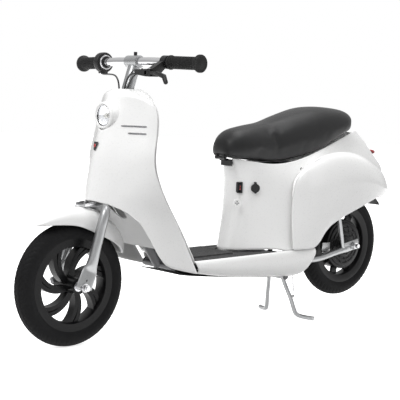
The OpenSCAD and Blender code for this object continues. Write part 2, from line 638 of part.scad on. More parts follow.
// Plain shield-shaped badge on the spine, and two plain trim bars
module front_badge() color([0.15, 0.15, 0.16]) translate(front_at(-71.6, 0, 509)) rotate([0, 76, 0]) {
    linear_extrude(2) hull() {
        translate([-9, 0]) square([3, 15], center = true);
        translate([8, 0]) circle(4, $fn = 32);
    }
    cylinder(h = 3.4, r = 5);
}
module shield_trim() color([0.8, 0.8, 0.82]) for (k = [0, 1])
    translate(front_at(-130 + 5 * k, 79.4 + k, 562 - 18 * k)) rotate([0, 0, 118])
        cube([32 - 9 * k, 2.4, 3.2], center = true);

// ---- floor ----
floor_k = floor_w / 230;
floor_tilt = 0.93;
floor_z0 = 202.2;
function floor_top(x) = floor_z0 - x * tan(floor_tilt);    // x from the drawn front axle
floor_front = -334;
function along_x(x) = x > -560 ? x - grow : x + drawn_base - wheelbase + grow;
// distance behind the front axle and height of the sill's lower edge
sill_rows = [[-342, 171], [-400, 161], [-471, 152], [-550, 145], [-616, 140], [-700, 135],
    [-740, 137], [-762, 147], [-777, 163], [-786, 182]];
function sill_row(x, low) = let (top = floor_top(x), h = top - low, lean = x > -350 ? 0.5 : 0)
    [for (p = [[100, 0.04], [107, 0], [112, 0.06], [115, 0.3], [114.5, 0.55], [109, 0.8],
        [98, 0.95], [84, 1]])
        [along_x(x + lean * (h - h * p[1])), p[0] * floor_k, top - h * p[1] + 2 * grow]];
module sill_panels() color([0.96, 0.96, 0.96]) {
    g = skin([for (s = sill_rows) sill_row(s[0], s[1])], 2, 2);
    panel(g, panel_t);
    panel(other_side(g), panel_t);
}

module floor_slab(z0, z1, half, x0, x1) translate([0, 0, floor_z0 + 2 * grow]) rotate([0, floor_tilt, 0])
    translate([x1, -half, z0]) cube([x0 - x1, 2 * half, z1 - z0]);
deck_rear = along_x(-650);
module floor_deck() color([0.93, 0.93, 0.93])
    floor_slab(-8, -4.2, 97 * floor_k, floor_front - grow, deck_rear);
module floor_mat() color([0.12, 0.12, 0.12]) difference() {
    union() {
        floor_slab(-4, 0, 97 * floor_k, floor_front - 1 - grow, along_x(-642));
        floor_slab(-2, 6, 68 * floor_k, floor_front - 8 - grow, along_x(-500));
    }
    rear_group() translate([drawn_base, 0, 150]) linear_extrude(80)
        polygon([[-506, 0], [-514, 26], [-538, 48], [-590, 72], [-650, 94], [-650, -94],
            [-590, -72], [-538, -48], [-514, -26]]);
}

belly_rows = [[-296, 170], [-342, 163], [-471, 150], [-616, 138], [-690, 134], [-722, 134]];
module belly_pan() color([0.06, 0.06, 0.06])
    panel(skin([for (b = belly_rows) [for (k = [-1 : 0.5 : 1])
        [along_x(b[0]), k * 82 * floor_k, b[1] + 2 * grow]]], 2, 1), -2.5);

module battery_pack() color([0.2, 0.22, 0.25]) for (k = [0, 1])
    translate(rear_at(381 - 72 * k, 0, 270)) cube([64, 80, 94], center = true);
module motor_controller() color([0.55, 0.55, 0.57]) translate(front_at(-400, 0, 180)) difference() {
    cube([100, 62, 24], center = true);
    for (k = [-4 : 4]) translate([k * 10, 0, 12]) cube([4, 64, 8], center = true);
}

// ---- tail: columns from the front centre round to the rear centre; x from the rear axle ----
tail_net = [
    [[484, 0, 473], [472, 34, 472], [427, 55, 465], [357, 70, 458], [287, 83, 468], [217, 90, 490],
        [127, 88, 522], [47, 74, 547], [-10, 44, 553], [-35, 20, 550], [-42, 0, 547]],
    [[471, 0, 430], [459, 37, 430], [415, 61, 428], [349, 79, 425], [291, 94, 430], [230, 97, 468],
        [135, 92, 506], [52, 80, 528], [-18, 54, 531], [-70, 30, 520], [-84, 0, 516]],
    [[467, 0, 382], [454, 40, 382], [409, 65, 380], [345, 85, 378], [294, 100, 378], [243, 101, 440],
        [141, 94, 488], [57, 83, 506], [-23, 62, 503], [-106, 34, 484], [-128, 0, 485]],
    [[473, 0, 303], [456, 44, 303], [401, 70, 300], [341, 91, 298], [297, 104, 298], [255, 103, 412],
        [145, 96, 470], [59, 85, 486], [-26, 68, 478], [-138, 35, 440], [-168, 0, 445]],
    [[495, 0, 217], [469, 44, 217], [415, 68, 217], [352, 89, 217], [301, 105, 216], [266, 104, 382],
        [147, 97, 450], [61, 86, 466], [-28, 70, 453], [-160, 36, 390], [-187, 0, 388]]];
module tail_body() color([0.96, 0.96, 0.96]) difference() {
    rear_group() panel(skin(both_sides(tail_net), 3, 2), -panel_t);
    // openings for the switch, the charge port and the seat hinge
    switch_place() {
        cube([13.8, 27.8, 60], center = true);
        translate([0, 0, 4.8]) cube([16.8, 31.8, 10], center = true);
    }
    port_place() {
        translate([0, 0, -25]) cylinder(h = 40, r = 8.4);
        translate([0, 0, -0.3]) cylinder(h = 12, r = 12.5);
        translate([-3.5, 8, -0.3]) cube([7, 10, 12]);
    }
    translate(hinge_at + [-18, 0, -10]) cube([24, 41, 28], center = true);
}

// Side cowls: rows from the upper border down, columns from front to rear
cowl_k = cowl_w / 256;
cowl_net = [
    [[301, 102, 418], [262, 105, 450], [187, 102, 484], [97, 99, 493], [7, 88, 479], [-73, 66, 453],
        [-143, 40, 425]],
    [[313, 108, 400], [267, 115, 436], [187, 117, 464], [97, 116, 472], [3, 105, 457],
        [-79, 80, 434], [-158, 44, 408]],
    [[321, 109, 340], [262, 123, 368], [182, 127, 390], [92, 128, 405], [-3, 117, 405],
        [-93, 91, 398], [-176, 44, 389]],
    [[321, 112, 275], [262, 122, 288], [192, 125, 315], [107, 123, 345], [2, 114, 366],
        [-98, 92, 379], [-177, 46, 377]],
    [[315, 115, 216], [262, 117, 214], [214, 115, 222], [155, 112, 279], [4, 108, 332],
        [-84, 88, 354], [-166, 46, 369]]];
module tail_cowls() color([0.96, 0.96, 0.96]) rear_group() {
    g = skin(widened(cowl_net, cowl_k), 3, 3);
    panel(g, -panel_t);
    panel(other_side(g), -panel_t);
}

module rear_inner_fender() color([0.07, 0.07, 0.07]) at_rear_axle() rotate([90, 0, 0]) rotate([0, 0, 22])
    rotate_extrude(angle = 118, $fn = 96) translate([tyre_r + 24, -tyre_w / 2 - 16])
        square([2.5, tyre_w + 32]);

module storage_bin() color([0.1, 0.1, 0.1]) difference() {
    rear_group() translate([150, -36, 396]) cube([196, 72, 60]);
    rear_group() translate([153, -33, 399]) cube([190, 66, 90]);
}

// ---- saddle: x from the rear axle, crown height, lower edge, half width ----
seat_rows = [[514, 508, 490, 20], [506, 532, 486, 40], [477, 554, 482, 57], [434, 563, 477, 66],
    [355, 573, 470, 77], [275, 596, 480, 91], [192, 617, 501, 102], [132, 622, 531, 106],
    [69, 618, 555, 99], [30, 609, 563, 70], [2, 594, 565, 44], [-22, 573, 563, 16]];
seat_k = seat_w / 212;
seat_hk = seat_h / 92;
function seat_ring(x, crown, low, half) = let (h = (crown - low) * seat_hk,
    right = [for (p = [[0, 1], [0.35, 0.975], [0.62, 0.89], [0.82, 0.74], [0.95, 0.52], [1, 0.28],
        [0.97, 0.08], [0.88, 0], [0.5, 0.02]])
        [x, -p[0] * half * seat_k, low + p[1] * h]])
    concat(right, [for (j = [len(right) - 1 : -1 : 1]) [right[j][0], -right[j][1], right[j][2]]]);
module seat_cushion() color([0.1, 0.1, 0.1]) rear_group()
    loft(swapped([for (c = swapped([for (s = seat_rows) seat_ring(s[0], s[1], s[2], s[3])]))
        curve(c, 2)]));

pan_drop = 0.6;
function pan_ring(x, low, half) = let (w = half * 0.66 * seat_k)
    [[x, -w, low - pan_drop], [x, -w, low - 5], [x, w, low - 5], [x, w, low - pan_drop]];
module seat_pan() color([0.1, 0.1, 0.1]) rear_group() {
    loft(swapped([for (c = swapped([for (k = [1 : 9]) let (s = seat_rows[k]) pan_ring(s[0], s[2], s[3])]))
        curve(c, 2)]));
    for (s = [-1, 1]) translate([504, s * 14, 475]) difference() {
        union() {
            rotate([90, 0, 0]) cylinder(h = 10, r = 5.5, center = true);
            translate([0, 0, 5.5]) cube([9, 10, 9], center = true);
        }
        rotate([90, 0, 0]) cylinder(h = 12, r = 3.05, center = true);
    }
}
hinge_at = rear_at(504, 0, 475);
module seat_hinge() color([0.2, 0.2, 0.2]) {
    difference() {
        union() {
            translate(hinge_at) ring_y(-8, 8, 5, 0);
            translate(hinge_at + [-13, 0, -6]) cube([20, 16, 5], center = true);
            translate(hinge_at + [-23, 0, -14]) cube([6, 40, 18], center = true);
        }
        translate(hinge_at) ring_y(-30, 30, 3.05, 0);
    }
    translate(hinge_at) ring_y(-22, 22, 3, 0);
}

// ---- things on the tail column; each frame's Z axis points out of the wall ----
module wall_frame(x, y, z, turn) translate(rear_at(x, y, z)) rotate([0, 0, turn]) rotate([0, 90,
    0]) rotate([0, 0, 90]) children();
module switch_place() wall_frame(462, 37, 392, 62) children();
module port_place() wall_frame(424, 59.5, 391, 66) children();
module switch_housing() color([0.05, 0.05, 0.05]) switch_place() difference() {
    union() {
        translate([0, 0, 2]) cube([16, 31, 4], center = true);
        translate([0, 0, -9]) cube([13, 27, 22], center = true);
    }
    translate([0, 0, -1]) cube([10, 23.6, 12], center = true);
}
module rocker_switch() color([0.75, 0.08, 0.06]) switch_place() translate([0, 0, -2.2]) intersection() {
    rotate([0, 90, 0]) cylinder(h = 9, r = 10.9, center = true);
    translate([0, 0, 4]) cube([9, 22, 8], center = true);
}
module charge_port() color([0.12, 0.12, 0.12]) port_place() difference() {
    union() {
        cylinder(h = 4, r = 12);
        translate([0, 0, -16]) cylinder(h = 17, r = 8);
        translate([-3, 11.4, 0]) cube([6, 6, 3]);
    }
    translate([0, 0, -12]) cylinder(h = 20, r = 5.6);
}
module charge_cap() color([0.1, 0.1, 0.1]) port_place() {
    translate([0, 0, 4.4]) cylinder(h = 3.4, r = 12.4);
    translate([-3, 10, 4.4]) cube([6, 6, 2.6]);
    translate([-3, 14.6, 6.2]) rotate([0, 90, 0]) cylinder(h = 6, r = 1.8);
    translate([0, -11, 4.4]) cylinder(h = 3.4, r = 4);
}
module tail_marker() color([0.6, 0.05, 0.05]) translate(rear_at(-133, 0, 494)) rotate([0, -38, 0]) hull()
    for (s = [-1, 1]) translate([0, s * 16, 0]) cylinder(h = 6, r = 8, $fn = 32);

// ---- centre stand ----
stand_z = 124 + 2 * grow;
stand_x = along_x(-740);
foot_y = stand_foot_w / 2;
knee_y = 61;
stand_r = stand_d / 2;
lug_y = 38.5;
module centre_stand() color([0.5, 0.51, 0.53]) {
    difference() {
        union() {
            translate([stand_x, 0, stand_z]) ring_y(-lug_y + part_gap, lug_y - part_gap, 8.5, 0);
            for (s = [-1, 1]) {
                bent_rod([[stand_x, s * 26.6, stand_z], [stand_x - 28, s * knee_y, stand_r + 8],
                    [stand_x - 52, s * foot_y, stand_r]], stand_r);
            }
            translate([stand_x - 26, 47, 64]) rotate([0, 90, 0]) cylinder(h = 10, r = 4, center = true);
        }
        translate([stand_x, 0, stand_z]) ring_y(-50, 50, 4.05, 0);
    }
}
module stand_spring() color([0.65, 0.65, 0.67]) {
    rod([stand_x - 24, 42, 128 + 2 * grow], [stand_x - 31, 46, 74], 5);
    rod([stand_x - 21, 41, 138 + 2 * grow], [stand_x - 24, 42, 128 + 2 * grow], 1.4);
    rod([stand_x - 31, 46, 75], [stand_x - 33.2, 47, 66], 1.4);
    rod([stand_x - 33.2, 47, 66], [stand_x - 33.2, 47, 60], 1.3);
}

module rear_wheel_motor() color([0.08, 0.08, 0.085]) at_rear_axle() {
    difference() {
        union() {
            rim_barrel();
            for (k = [0 : 8]) rotate([0, k * 40, 0]) translate([motor_r - 2, -11, -4])
                cube([rim_in_r - motor_r + 5, 22, 8]);
            ring_y(-28, 30, motor_r, 0);
            ring_y(29, 36, 26, 0);
        }
        ring_y(-22, 24, motor_r - 6, 0);
        ring_y(-60, 60, rear_axle_d / 2 + 2, 0);
        // concentric grooves of the left face
        for (r = [34, 46, 58]) ring_y(27, 31, r + 6, r);
    }
}
module rear_axle() color([0.6, 0.6, 0.62]) at_rear_axle() {
    ring_y(-stay_y - 24, stay_y + 24, rear_axle_d / 2, 0);
    // stator of the hub motor and the two bearings' inner spacers
    ring_y(-20, 22, motor_r - 10, rear_axle_d / 2 - 0.5);
    for (s = [-1, 1]) {
        translate([0, s * (stay_y + 9), 0]) nut_y(18, 9, rear_axle_d / 2 - 0.01);
        translate([0, s * (stay_y - 10), 0]) ring_y(-6, 6, rear_axle_d / 2 + 4, rear_axle_d / 2 - 0.5);
    }
}
module stand_bracket() color([0.35, 0.35, 0.37]) {
    for (s = [-1, 1]) hull() {
        translate([stand_x, s * (lug_y + 2.5), stand_z]) ring_y(-2.5, 2.5, 9, 0);
        translate([stand_x, s * (lug_y + 2.5), stand_z + 42]) cube([26, 5, 8], center = true);
    }
}

placed() front_tyre();
placed() front_rim();
placed() front_valve();
placed() front_bearings();
placed() front_axle();
placed() front_axle_nuts();
placed() fork();
placed() front_fender();
placed() fender_bracket();
placed() headset_bearings();
placed() steering_stem();
placed() stem_bolt();
placed() handlebar();
placed() left_grip();
placed() throttle_grip();
placed() throttle_housing();
placed() brake_perch();
placed() brake_lever();
placed() lever_screw();
placed() brake_cable_front();
placed() throttle_wire();
placed() head_tube();
placed() down_tube();
placed() floor_rails();
placed() rear_frame();
placed() seat_frame();
placed() leg_shield();
placed() rear_apron();
placed() arch_liner();
placed() lamp_housing();
placed() lamp_bezel();
placed() lamp_reflector();
placed() lamp_bulb();
placed() lamp_lens();
placed() front_badge();
placed() shield_trim();
placed() sill_panels();
placed() floor_deck();
placed() floor_mat();
placed() belly_pan();
placed() battery_pack();
placed() motor_controller();
placed() tail_body();
placed() tail_cowls();
placed() rear_inner_fender();
placed() storage_bin();
placed() seat_pan();
placed() seat_cushion();
placed() seat_hinge();
placed() rocker_switch();
placed() switch_housing();
placed() charge_port();
placed() charge_cap();
placed() tail_marker();
placed() centre_stand();
placed() stand_spring();
placed() rear_tyre();
placed() rear_wheel_motor();
placed() rear_axle();
placed() stand_bracket();
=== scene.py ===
import json
import math
import bpy
import bmesh
from mathutils import Matrix, Vector
from mathutils.bvhtree import BVHTree


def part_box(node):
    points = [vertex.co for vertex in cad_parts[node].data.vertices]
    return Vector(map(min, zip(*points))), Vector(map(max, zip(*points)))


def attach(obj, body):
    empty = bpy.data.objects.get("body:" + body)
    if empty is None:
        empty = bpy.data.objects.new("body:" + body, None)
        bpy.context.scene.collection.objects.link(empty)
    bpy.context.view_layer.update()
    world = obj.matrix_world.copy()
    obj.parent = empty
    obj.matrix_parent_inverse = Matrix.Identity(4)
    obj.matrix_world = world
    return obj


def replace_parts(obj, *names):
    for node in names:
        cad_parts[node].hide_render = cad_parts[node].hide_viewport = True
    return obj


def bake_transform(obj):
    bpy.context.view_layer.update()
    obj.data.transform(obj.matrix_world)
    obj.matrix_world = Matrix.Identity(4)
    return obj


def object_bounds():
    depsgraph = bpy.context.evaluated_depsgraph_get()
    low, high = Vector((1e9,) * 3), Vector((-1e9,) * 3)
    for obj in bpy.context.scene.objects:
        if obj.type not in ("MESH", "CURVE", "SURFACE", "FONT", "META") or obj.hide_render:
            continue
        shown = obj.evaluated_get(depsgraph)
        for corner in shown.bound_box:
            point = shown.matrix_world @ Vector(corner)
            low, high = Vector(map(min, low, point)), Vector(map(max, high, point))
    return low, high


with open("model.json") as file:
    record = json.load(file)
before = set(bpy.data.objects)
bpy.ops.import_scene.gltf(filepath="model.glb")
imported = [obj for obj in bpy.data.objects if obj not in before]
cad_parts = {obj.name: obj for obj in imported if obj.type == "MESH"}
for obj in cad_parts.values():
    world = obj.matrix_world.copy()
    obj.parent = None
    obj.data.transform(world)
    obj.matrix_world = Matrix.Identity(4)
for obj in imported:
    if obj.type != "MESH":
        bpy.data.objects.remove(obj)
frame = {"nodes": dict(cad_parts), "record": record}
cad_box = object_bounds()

NODES = frame["nodes"]


def middle(node):
    low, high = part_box(node)
    return (Vector(low) + Vector(high)) / 2


FRONT = middle("front_tyre")          # front wheel's centre
REAR = middle("rear_tyre")            # rear wheel's centre
FX, RX = FRONT.x, REAR.x
TYRE_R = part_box("front_tyre")[1][2] - FRONT.z
mm = 0.001


def fa(x, y, z):
    """A place in mm from the front axle's foot on the floor."""
    return Vector((FX + x * mm, y * mm, z * mm))


def ra(x, y, z):
    """A place in mm from the rear axle's foot on the floor."""
    return Vector((RX + x * mm, y * mm, z * mm))


AXIS = Vector((-math.sin(math.radians(18)), 0, math.cos(math.radians(18))))


def on_axis(s, dx=0, dy=0, dz=0):
    return fa(-75, 0, 365) + AXIS * s * mm + Vector((dx, dy, dz)) * mm


# ---------------------------------------------------------------- materials
def mat(name, base, rough, metal=0.0, coat=0.0, vary=0.04, vary_scale=30.0, fine=900.0, bump=0.05,
        depth=0.0002, rough_vary=0.08, dust=0.0, wear=0.0, wear_rgb=None, grain=None, sheen=0.0,
        trans=0.0, emit=0.0, coat_rough=0.05, spec=0.5):
    """A finish from nodes: slow colour drift, fine roughness change, moulded or leather grain, worn edges."""
    m = bpy.data.materials.new(name)
    m.use_nodes = True
    nt = m.node_tree
    b = nt.nodes["Principled BSDF"]
    link = nt.links.new
    co = nt.nodes.new("ShaderNodeTexCoord").outputs["Object"]

    def noise_tex(scale, detail=4.0, rough_in=0.55):
        n = nt.nodes.new("ShaderNodeTexNoise")
        n.inputs["Scale"].default_value = scale
        n.inputs["Detail"].default_value = detail
        n.inputs["Roughness"].default_value = rough_in
        link(co, n.inputs["Vector"])
        return n.outputs["Fac"]

    def ramp(fac, lo, hi, a=0.3, c=0.7):
        r = nt.nodes.new("ShaderNodeMapRange")
        r.inputs["From Min"].default_value = a
        r.inputs["From Max"].default_value = c
        r.inputs["To Min"].default_value = lo
        r.inputs["To Max"].default_value = hi
        link(fac, r.inputs["Value"])
        return r.outputs["Result"]

    def mix(fac, a, c):
        x = nt.nodes.new("ShaderNodeMix")
        x.data_type = "RGBA"
        if isinstance(fac, float):
            x.inputs[0].default_value = fac
        else:
            link(fac, x.inputs[0])
        for sock, v in ((x.inputs[6], a), (x.inputs[7], c)):
            if isinstance(v, tuple):
                sock.default_value = (*v, 1)
            else:
                link(v, sock)
        return x.outputs[2]

    slow = noise_tex(vary_scale)
    quick = noise_tex(fine, 3.0)
    lower = tuple(max(0.0, v * (1 - vary)) for v in base)
    upper = tuple(min(1.0, v * (1 + vary)) for v in base)
    colour = mix(ramp(slow, 0.0, 1.0), lower, upper)
    if dust:
        colour = mix(ramp(noise_tex(vary_scale * 3.1, 6.0), 0.0, dust, 0.5, 0.8), colour, (0.45, 0.43, 0.4))
    if wear:
        geo = nt.nodes.new("ShaderNodeNewGeometry")
        edge = ramp(geo.outputs["Pointiness"], 0.0, wear, 0.53, 0.6)
        colour = mix(edge, colour, wear_rgb or tuple(min(1.0, v * 1.6 + 0.05) for v in base))
    link(colour, b.inputs["Base Color"])
    link(ramp(quick, max(0.02, rough - rough_vary), min(1.0, rough + rough_vary)), b.inputs["Roughness"])
    b.inputs["Metallic"].default_value = metal
    b.inputs["Coat Weight"].default_value = coat
    b.inputs["Coat Roughness"].default_value = coat_rough
    b.inputs["Specular IOR Level"].default_value = spec
    b.inputs["Sheen Weight"].default_value = sheen
    b.inputs["Transmission Weight"].default_value = trans
    if emit:
        b.inputs["Emission Color"].default_value = (*base, 1)
        b.inputs["Emission Strength"].default_value = emit
    height = quick
    if grain:
        v = nt.nodes.new("ShaderNodeTexVoronoi")
        v.feature = "DISTANCE_TO_EDGE"
        v.inputs["Scale"].default_value = grain
        link(co, v.inputs["Vector"])
        add = nt.nodes.new("ShaderNodeMath")
        add.operation = "MULTIPLY_ADD"
        link(ramp(v.outputs["Distance"], 0.0, 1.0, 0.0, 0.25), add.inputs[0])
        add.inputs[1].default_value = 1.0
        link(quick, add.inputs[2])
        height = add.outputs[0]
    bp = nt.nodes.new("ShaderNodeBump")
    bp.inputs["Strength"].default_value = bump
    bp.inputs["Distance"].default_value = depth
    link(height, bp.inputs["Height"])
    link(bp.outputs["Normal"], b.inputs["Normal"])
    m.diffuse_color = (*base, 1)
    return m


M = {
    "white": mat("white gloss plastic", (0.9, 0.9, 0.895), 0.3, coat=0.6, vary=0.012, vary_scale=9, fine=240,
                 bump=0.02, rough_vary=0.05, coat_rough=0.12),
    "white_matte": mat("white satin plastic", (0.86, 0.86, 0.855), 0.42, vary=0.015, fine=700, bump=0.04),
    "liner": mat("grey moulded plastic", (0.16, 0.16, 0.165), 0.55, fine=1600, bump=0.2, vary=0.08, dust=0.08),
    "tyre": mat("tyre rubber", (0.0065, 0.0065, 0.007), 0.66, fine=1500, bump=0.3, vary=0.2, dust=0.006,
                rough_vary=0.12, spec=0.12),
    "rim": mat("black cast wheel", (0.005, 0.005, 0.0055), 0.32, coat=0.04, coat_rough=0.2, fine=1200, bump=0.12,
               vary=0.15, wear=0.1, wear_rgb=(0.04, 0.04, 0.04), spec=0.14),
    "motor": mat("black painted alloy", (0.008, 0.008, 0.0085), 0.38, coat=0.05, coat_rough=0.3, fine=1100, bump=0.2,
                 vary=0.15, wear=0.15, wear_rgb=(0.07, 0.07, 0.07), spec=0.18),
    "fork": mat("silver paint", (0.34, 0.345, 0.35), 0.33, metal=0.85, fine=2200, bump=0.08, vary=0.06, coat=0.3,
                wear=0.3, wear_rgb=(0.6, 0.6, 0.6)),
    "zinc": mat("zinc-plated steel", (0.6, 0.6, 0.61), 0.28, metal=1.0, fine=900, bump=0.1, vary=0.1),
    "bearing": mat("bearing steel", (0.55, 0.55, 0.57), 0.22, metal=1.0, fine=900, bump=0.05),
    "chrome": mat("chrome", (0.6, 0.6, 0.61), 0.08, metal=1.0, fine=600, bump=0.01, vary=0.03, rough_vary=0.04),
    "frame": mat("grey frame paint", (0.1, 0.1, 0.105), 0.45, metal=0.3, fine=1400, bump=0.12, vary=0.1),
    "rubber": mat("black grip rubber", (0.008, 0.008, 0.008), 0.6, fine=2400, bump=0.3, vary=0.15, spec=0.25),
    "plastic": mat("black moulded plastic", (0.0075, 0.0075, 0.008), 0.42, fine=1900, bump=0.18, vary=0.12,
                   wear=0.15, wear_rgb=(0.04, 0.04, 0.04), spec=0.3),
    "mat": mat("floor mat rubber", (0.035, 0.035, 0.036), 0.7, fine=2100, bump=0.4, vary=0.15, dust=0.1, grain=700.0),
    "cable": mat("cable sheath", (0.01, 0.01, 0.01), 0.38, fine=2500, bump=0.08),
    "glass": mat("clear lens", (0.97, 0.98, 1.0), 0.04, trans=1.0, fine=500, bump=0.02, vary=0.0, rough_vary=0.01),
    # the lamp silver glows faintly (emit): a painted glow in place of reflected light, the lamp itself is not lit
    "silver": mat("lamp silver", (0.95, 0.95, 0.95), 0.2, metal=1.0, fine=700, bump=0.05, rough_vary=0.06, emit=0.12),
    "bulb": mat("bulb glass", (0.95, 0.93, 0.86), 0.1, trans=0.5, vary=0.01, rough_vary=0.02),
    "badge": mat("badge plate", (0.02, 0.02, 0.022), 0.3, coat=0.5, fine=1500, bump=0.05),
    "badge_red": mat("badge enamel", (0.45, 0.02, 0.02), 0.22, coat=0.7, fine=1500, bump=0.03),
    "trim": mat("dark chrome trim", (0.13, 0.13, 0.135), 0.2, metal=1.0, fine=1200, bump=0.03),
    "vinyl": mat("saddle vinyl", (0.008, 0.008, 0.0085), 0.42, fine=2600, bump=0.22, grain=1250.0, vary=0.12,
                 depth=0.00015, sheen=0.02, rough_vary=0.06, spec=0.28),
    "red": mat("rocker red", (0.55, 0.02, 0.015), 0.3, coat=0.4, fine=1500, bump=0.05),
    "marker": mat("tail marker lens", (0.35, 0.01, 0.012), 0.16, coat=0.8, trans=0.25, grain=500.0, bump=0.3),
    "battery": mat("battery wrap", (0.03, 0.045, 0.07), 0.5, fine=900, bump=0.1),
    "brass": mat("valve brass", (0.5, 0.42, 0.26), 0.35, metal=1.0, fine=1200, bump=0.1),
    "label": mat("white print", (0.7, 0.7, 0.7), 0.5, fine=1500, bump=0.05),
}

SLOT_OF = {"white_gloss": "white", "white_matte": "white_matte", "liner_grey": "liner", "tyre_black": "tyre",
           "rim_black": "rim", "motor_black": "motor", "fork_silver": "fork", "steel_zinc": "zinc",
           "bearing_steel": "bearing", "chrome_bar": "chrome", "frame_grey": "frame", "rubber_black": "rubber",
           "plastic_black": "plastic", "mat_grey": "mat", "cable_black": "cable", "lamp_glass": "glass",
           "lamp_silver": "silver", "bulb_glass": "bulb", "badge_dark": "badge", "seat_vinyl": "vinyl",
           "switch_red": "red", "marker_red": "marker", "battery_case": "battery", "valve_brass": "brass"}
NODE_SLOT = {s["node"]: s["material_slot"] for s in frame["record"]["subparts"]}
for name, obj in NODES.items():
    for s in obj.material_slots:
        s.material = M[SLOT_OF[NODE_SLOT[name]]]


# ---------------------------------------------------------------- mesh helpers
def piece(name, bm, material, body, smooth=38.0):
    """An object from a bmesh, smooth but for edges sharper than the angle, riding on a body."""
    bmesh.ops.recalc_face_normals(bm, faces=bm.faces)
    for f in bm.faces:
        f.smooth = True
    for e in bm.edges:
        if len(e.link_faces) == 2 and e.calc_face_angle(0) > math.radians(smooth):
            e.smooth = False
    me = bpy.data.meshes.new(name)
    bm.to_mesh(me)
    bm.free()
    me.materials.append(M[material])
    obj = bpy.data.objects.new(name, me)
    bpy.context.scene.collection.objects.link(obj)
    if body:
        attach(obj, body)
    return obj


def spline(points, steps):
    """Catmull-Rom through points of any length."""
    p = [tuple(q) for q in points]
    last = len(p) - 1
    dims = range(len(p[0]))
    ends = [tuple(2 * p[0][k] - p[1][k] for k in dims), tuple(2 * p[last][k] - p[last - 1][k] for k in dims)]
    q = [ends[0], *p, ends[1]]
    out = []
    for n in range(steps * last + 1):
        i = min(n // steps, last - 1)
        t = n / steps - i
        a, b, c, d = q[i], q[i + 1], q[i + 2], q[i + 3]
        out.append(tuple(0.5 * (2 * b[k] + (c[k] - a[k]) * t + (2 * a[k] - 5 * b[k] + 4 * c[k] - d[k]) * t * t
                                + (3 * b[k] - a[k] - 3 * c[k] + d[k]) * t ** 3) for k in dims))
    return out


def stitch(bm, rings, caps=True, closed=True):
    """Faces between rings of vertices of equal length."""
    rows = [[bm.verts.new(p) for p in ring] for ring in rings]
    n = len(rows[0])
    for a, b in zip(rows, rows[1:]):
        for k in range(n if closed else n - 1):
            bm.faces.new((a[k], a[(k + 1) % n], b[(k + 1) % n], b[k]))
    if caps:
        bm.faces.new(rows[0][::-1])
        bm.faces.new(rows[-1])
    return rows


def sweep(points, radii, steps=6, segments=24, bm=None, flat=None):
    """A round or oval tube along a smooth curve. radii in mm, one per point or one for all; flat is a list of
    (across, up) factors, one per point."""
    n = len(points)
    r = radii if isinstance(radii, (list, tuple)) else [radii] * n
    f = flat or [(1.0, 1.0)] * n
    data = spline([(*p, r[i], *f[i]) for i, p in enumerate(points)], steps)
    bm = bm or bmesh.new()
    pts = [Vector(d[:3]) for d in data]
    side = None
    rings = []
    for i, p in enumerate(pts):
        v = (pts[min(i + 1, len(pts) - 1)] - pts[max(i - 1, 0)]).normalized()
        if side is None:
            side = Vector((0, 1, 0)) if abs(v.y) < 0.9 else Vector((1, 0, 0))
        side = (side - v * side.dot(v)).normalized()
        up = v.cross(side)
        a, b = data[i][3] * data[i][4] * mm, data[i][3] * data[i][5] * mm
        rings.append([p + side * a * math.cos(2 * math.pi * k / segments) + up * b * math.sin(2 * math.pi * k / segments)
                      for k in range(segments)])
    stitch(bm, rings)
    return bm


def lathe(profile, origin, axis, segments=64, bm=None, wobble=None, caps=True):
    """A solid turned about an axis from [distance along, radius] in mm. wobble(angle, i) adds to the radius."""
    bm = bm or bmesh.new()
    z = Vector(axis).normalized()
    x = z.cross(Vector((0, 1, 0)) if abs(z.y) < 0.9 else Vector((1, 0, 0))).normalized()
    y = z.cross(x)
    rings = []
    for i, (h, r) in enumerate(profile):
        ring = []
        for k in range(segments):
            a = 2 * math.pi * k / segments
            rr = max(0.01, r + (wobble(a, i) if wobble else 0)) * mm
            ring.append(Vector(origin) + z * h * mm + x * rr * math.cos(a) + y * rr * math.sin(a))
        rings.append(ring)
    stitch(bm, rings, caps)
    return bm


def block(size, matrix, bm=None, bevel=0.0, segments=2):
    """A box with rounded edges, in mm, placed by a matrix."""
    bm = bm or bmesh.new()
    made = bmesh.ops.create_cube(bm, size=1.0, matrix=matrix @ Matrix.Diagonal((*[s * mm for s in size], 1)))
    if bevel:
        edges = list({e for v in made["verts"] for e in v.link_edges})
        bmesh.ops.bevel(bm, geom=edges, offset=bevel * mm, segments=segments, profile=0.5, affect="EDGES")
    return bm


def frame_at(origin, z, x=None):
    """A matrix whose Z runs along z."""
    z = Vector(z).normalized()
    x = Vector(x) if x is not None else (Vector((0, 1, 0)) if abs(z.y) < 0.9 else Vector((1, 0, 0)))
    y = z.cross(x).normalized()
    x = y.cross(z).normalized()
    m = Matrix((x, y, z)).transposed().to_4x4()
    m.translation = Vector(origin)
    return m


def cad_copy(node):
    """A welded copy of a CAD node's mesh as a bmesh."""
    bm = bmesh.new()
    bm.from_mesh(NODES[node].data)
    bmesh.ops.remove_doubles(bm, verts=bm.verts, dist=2e-5)
    return bm


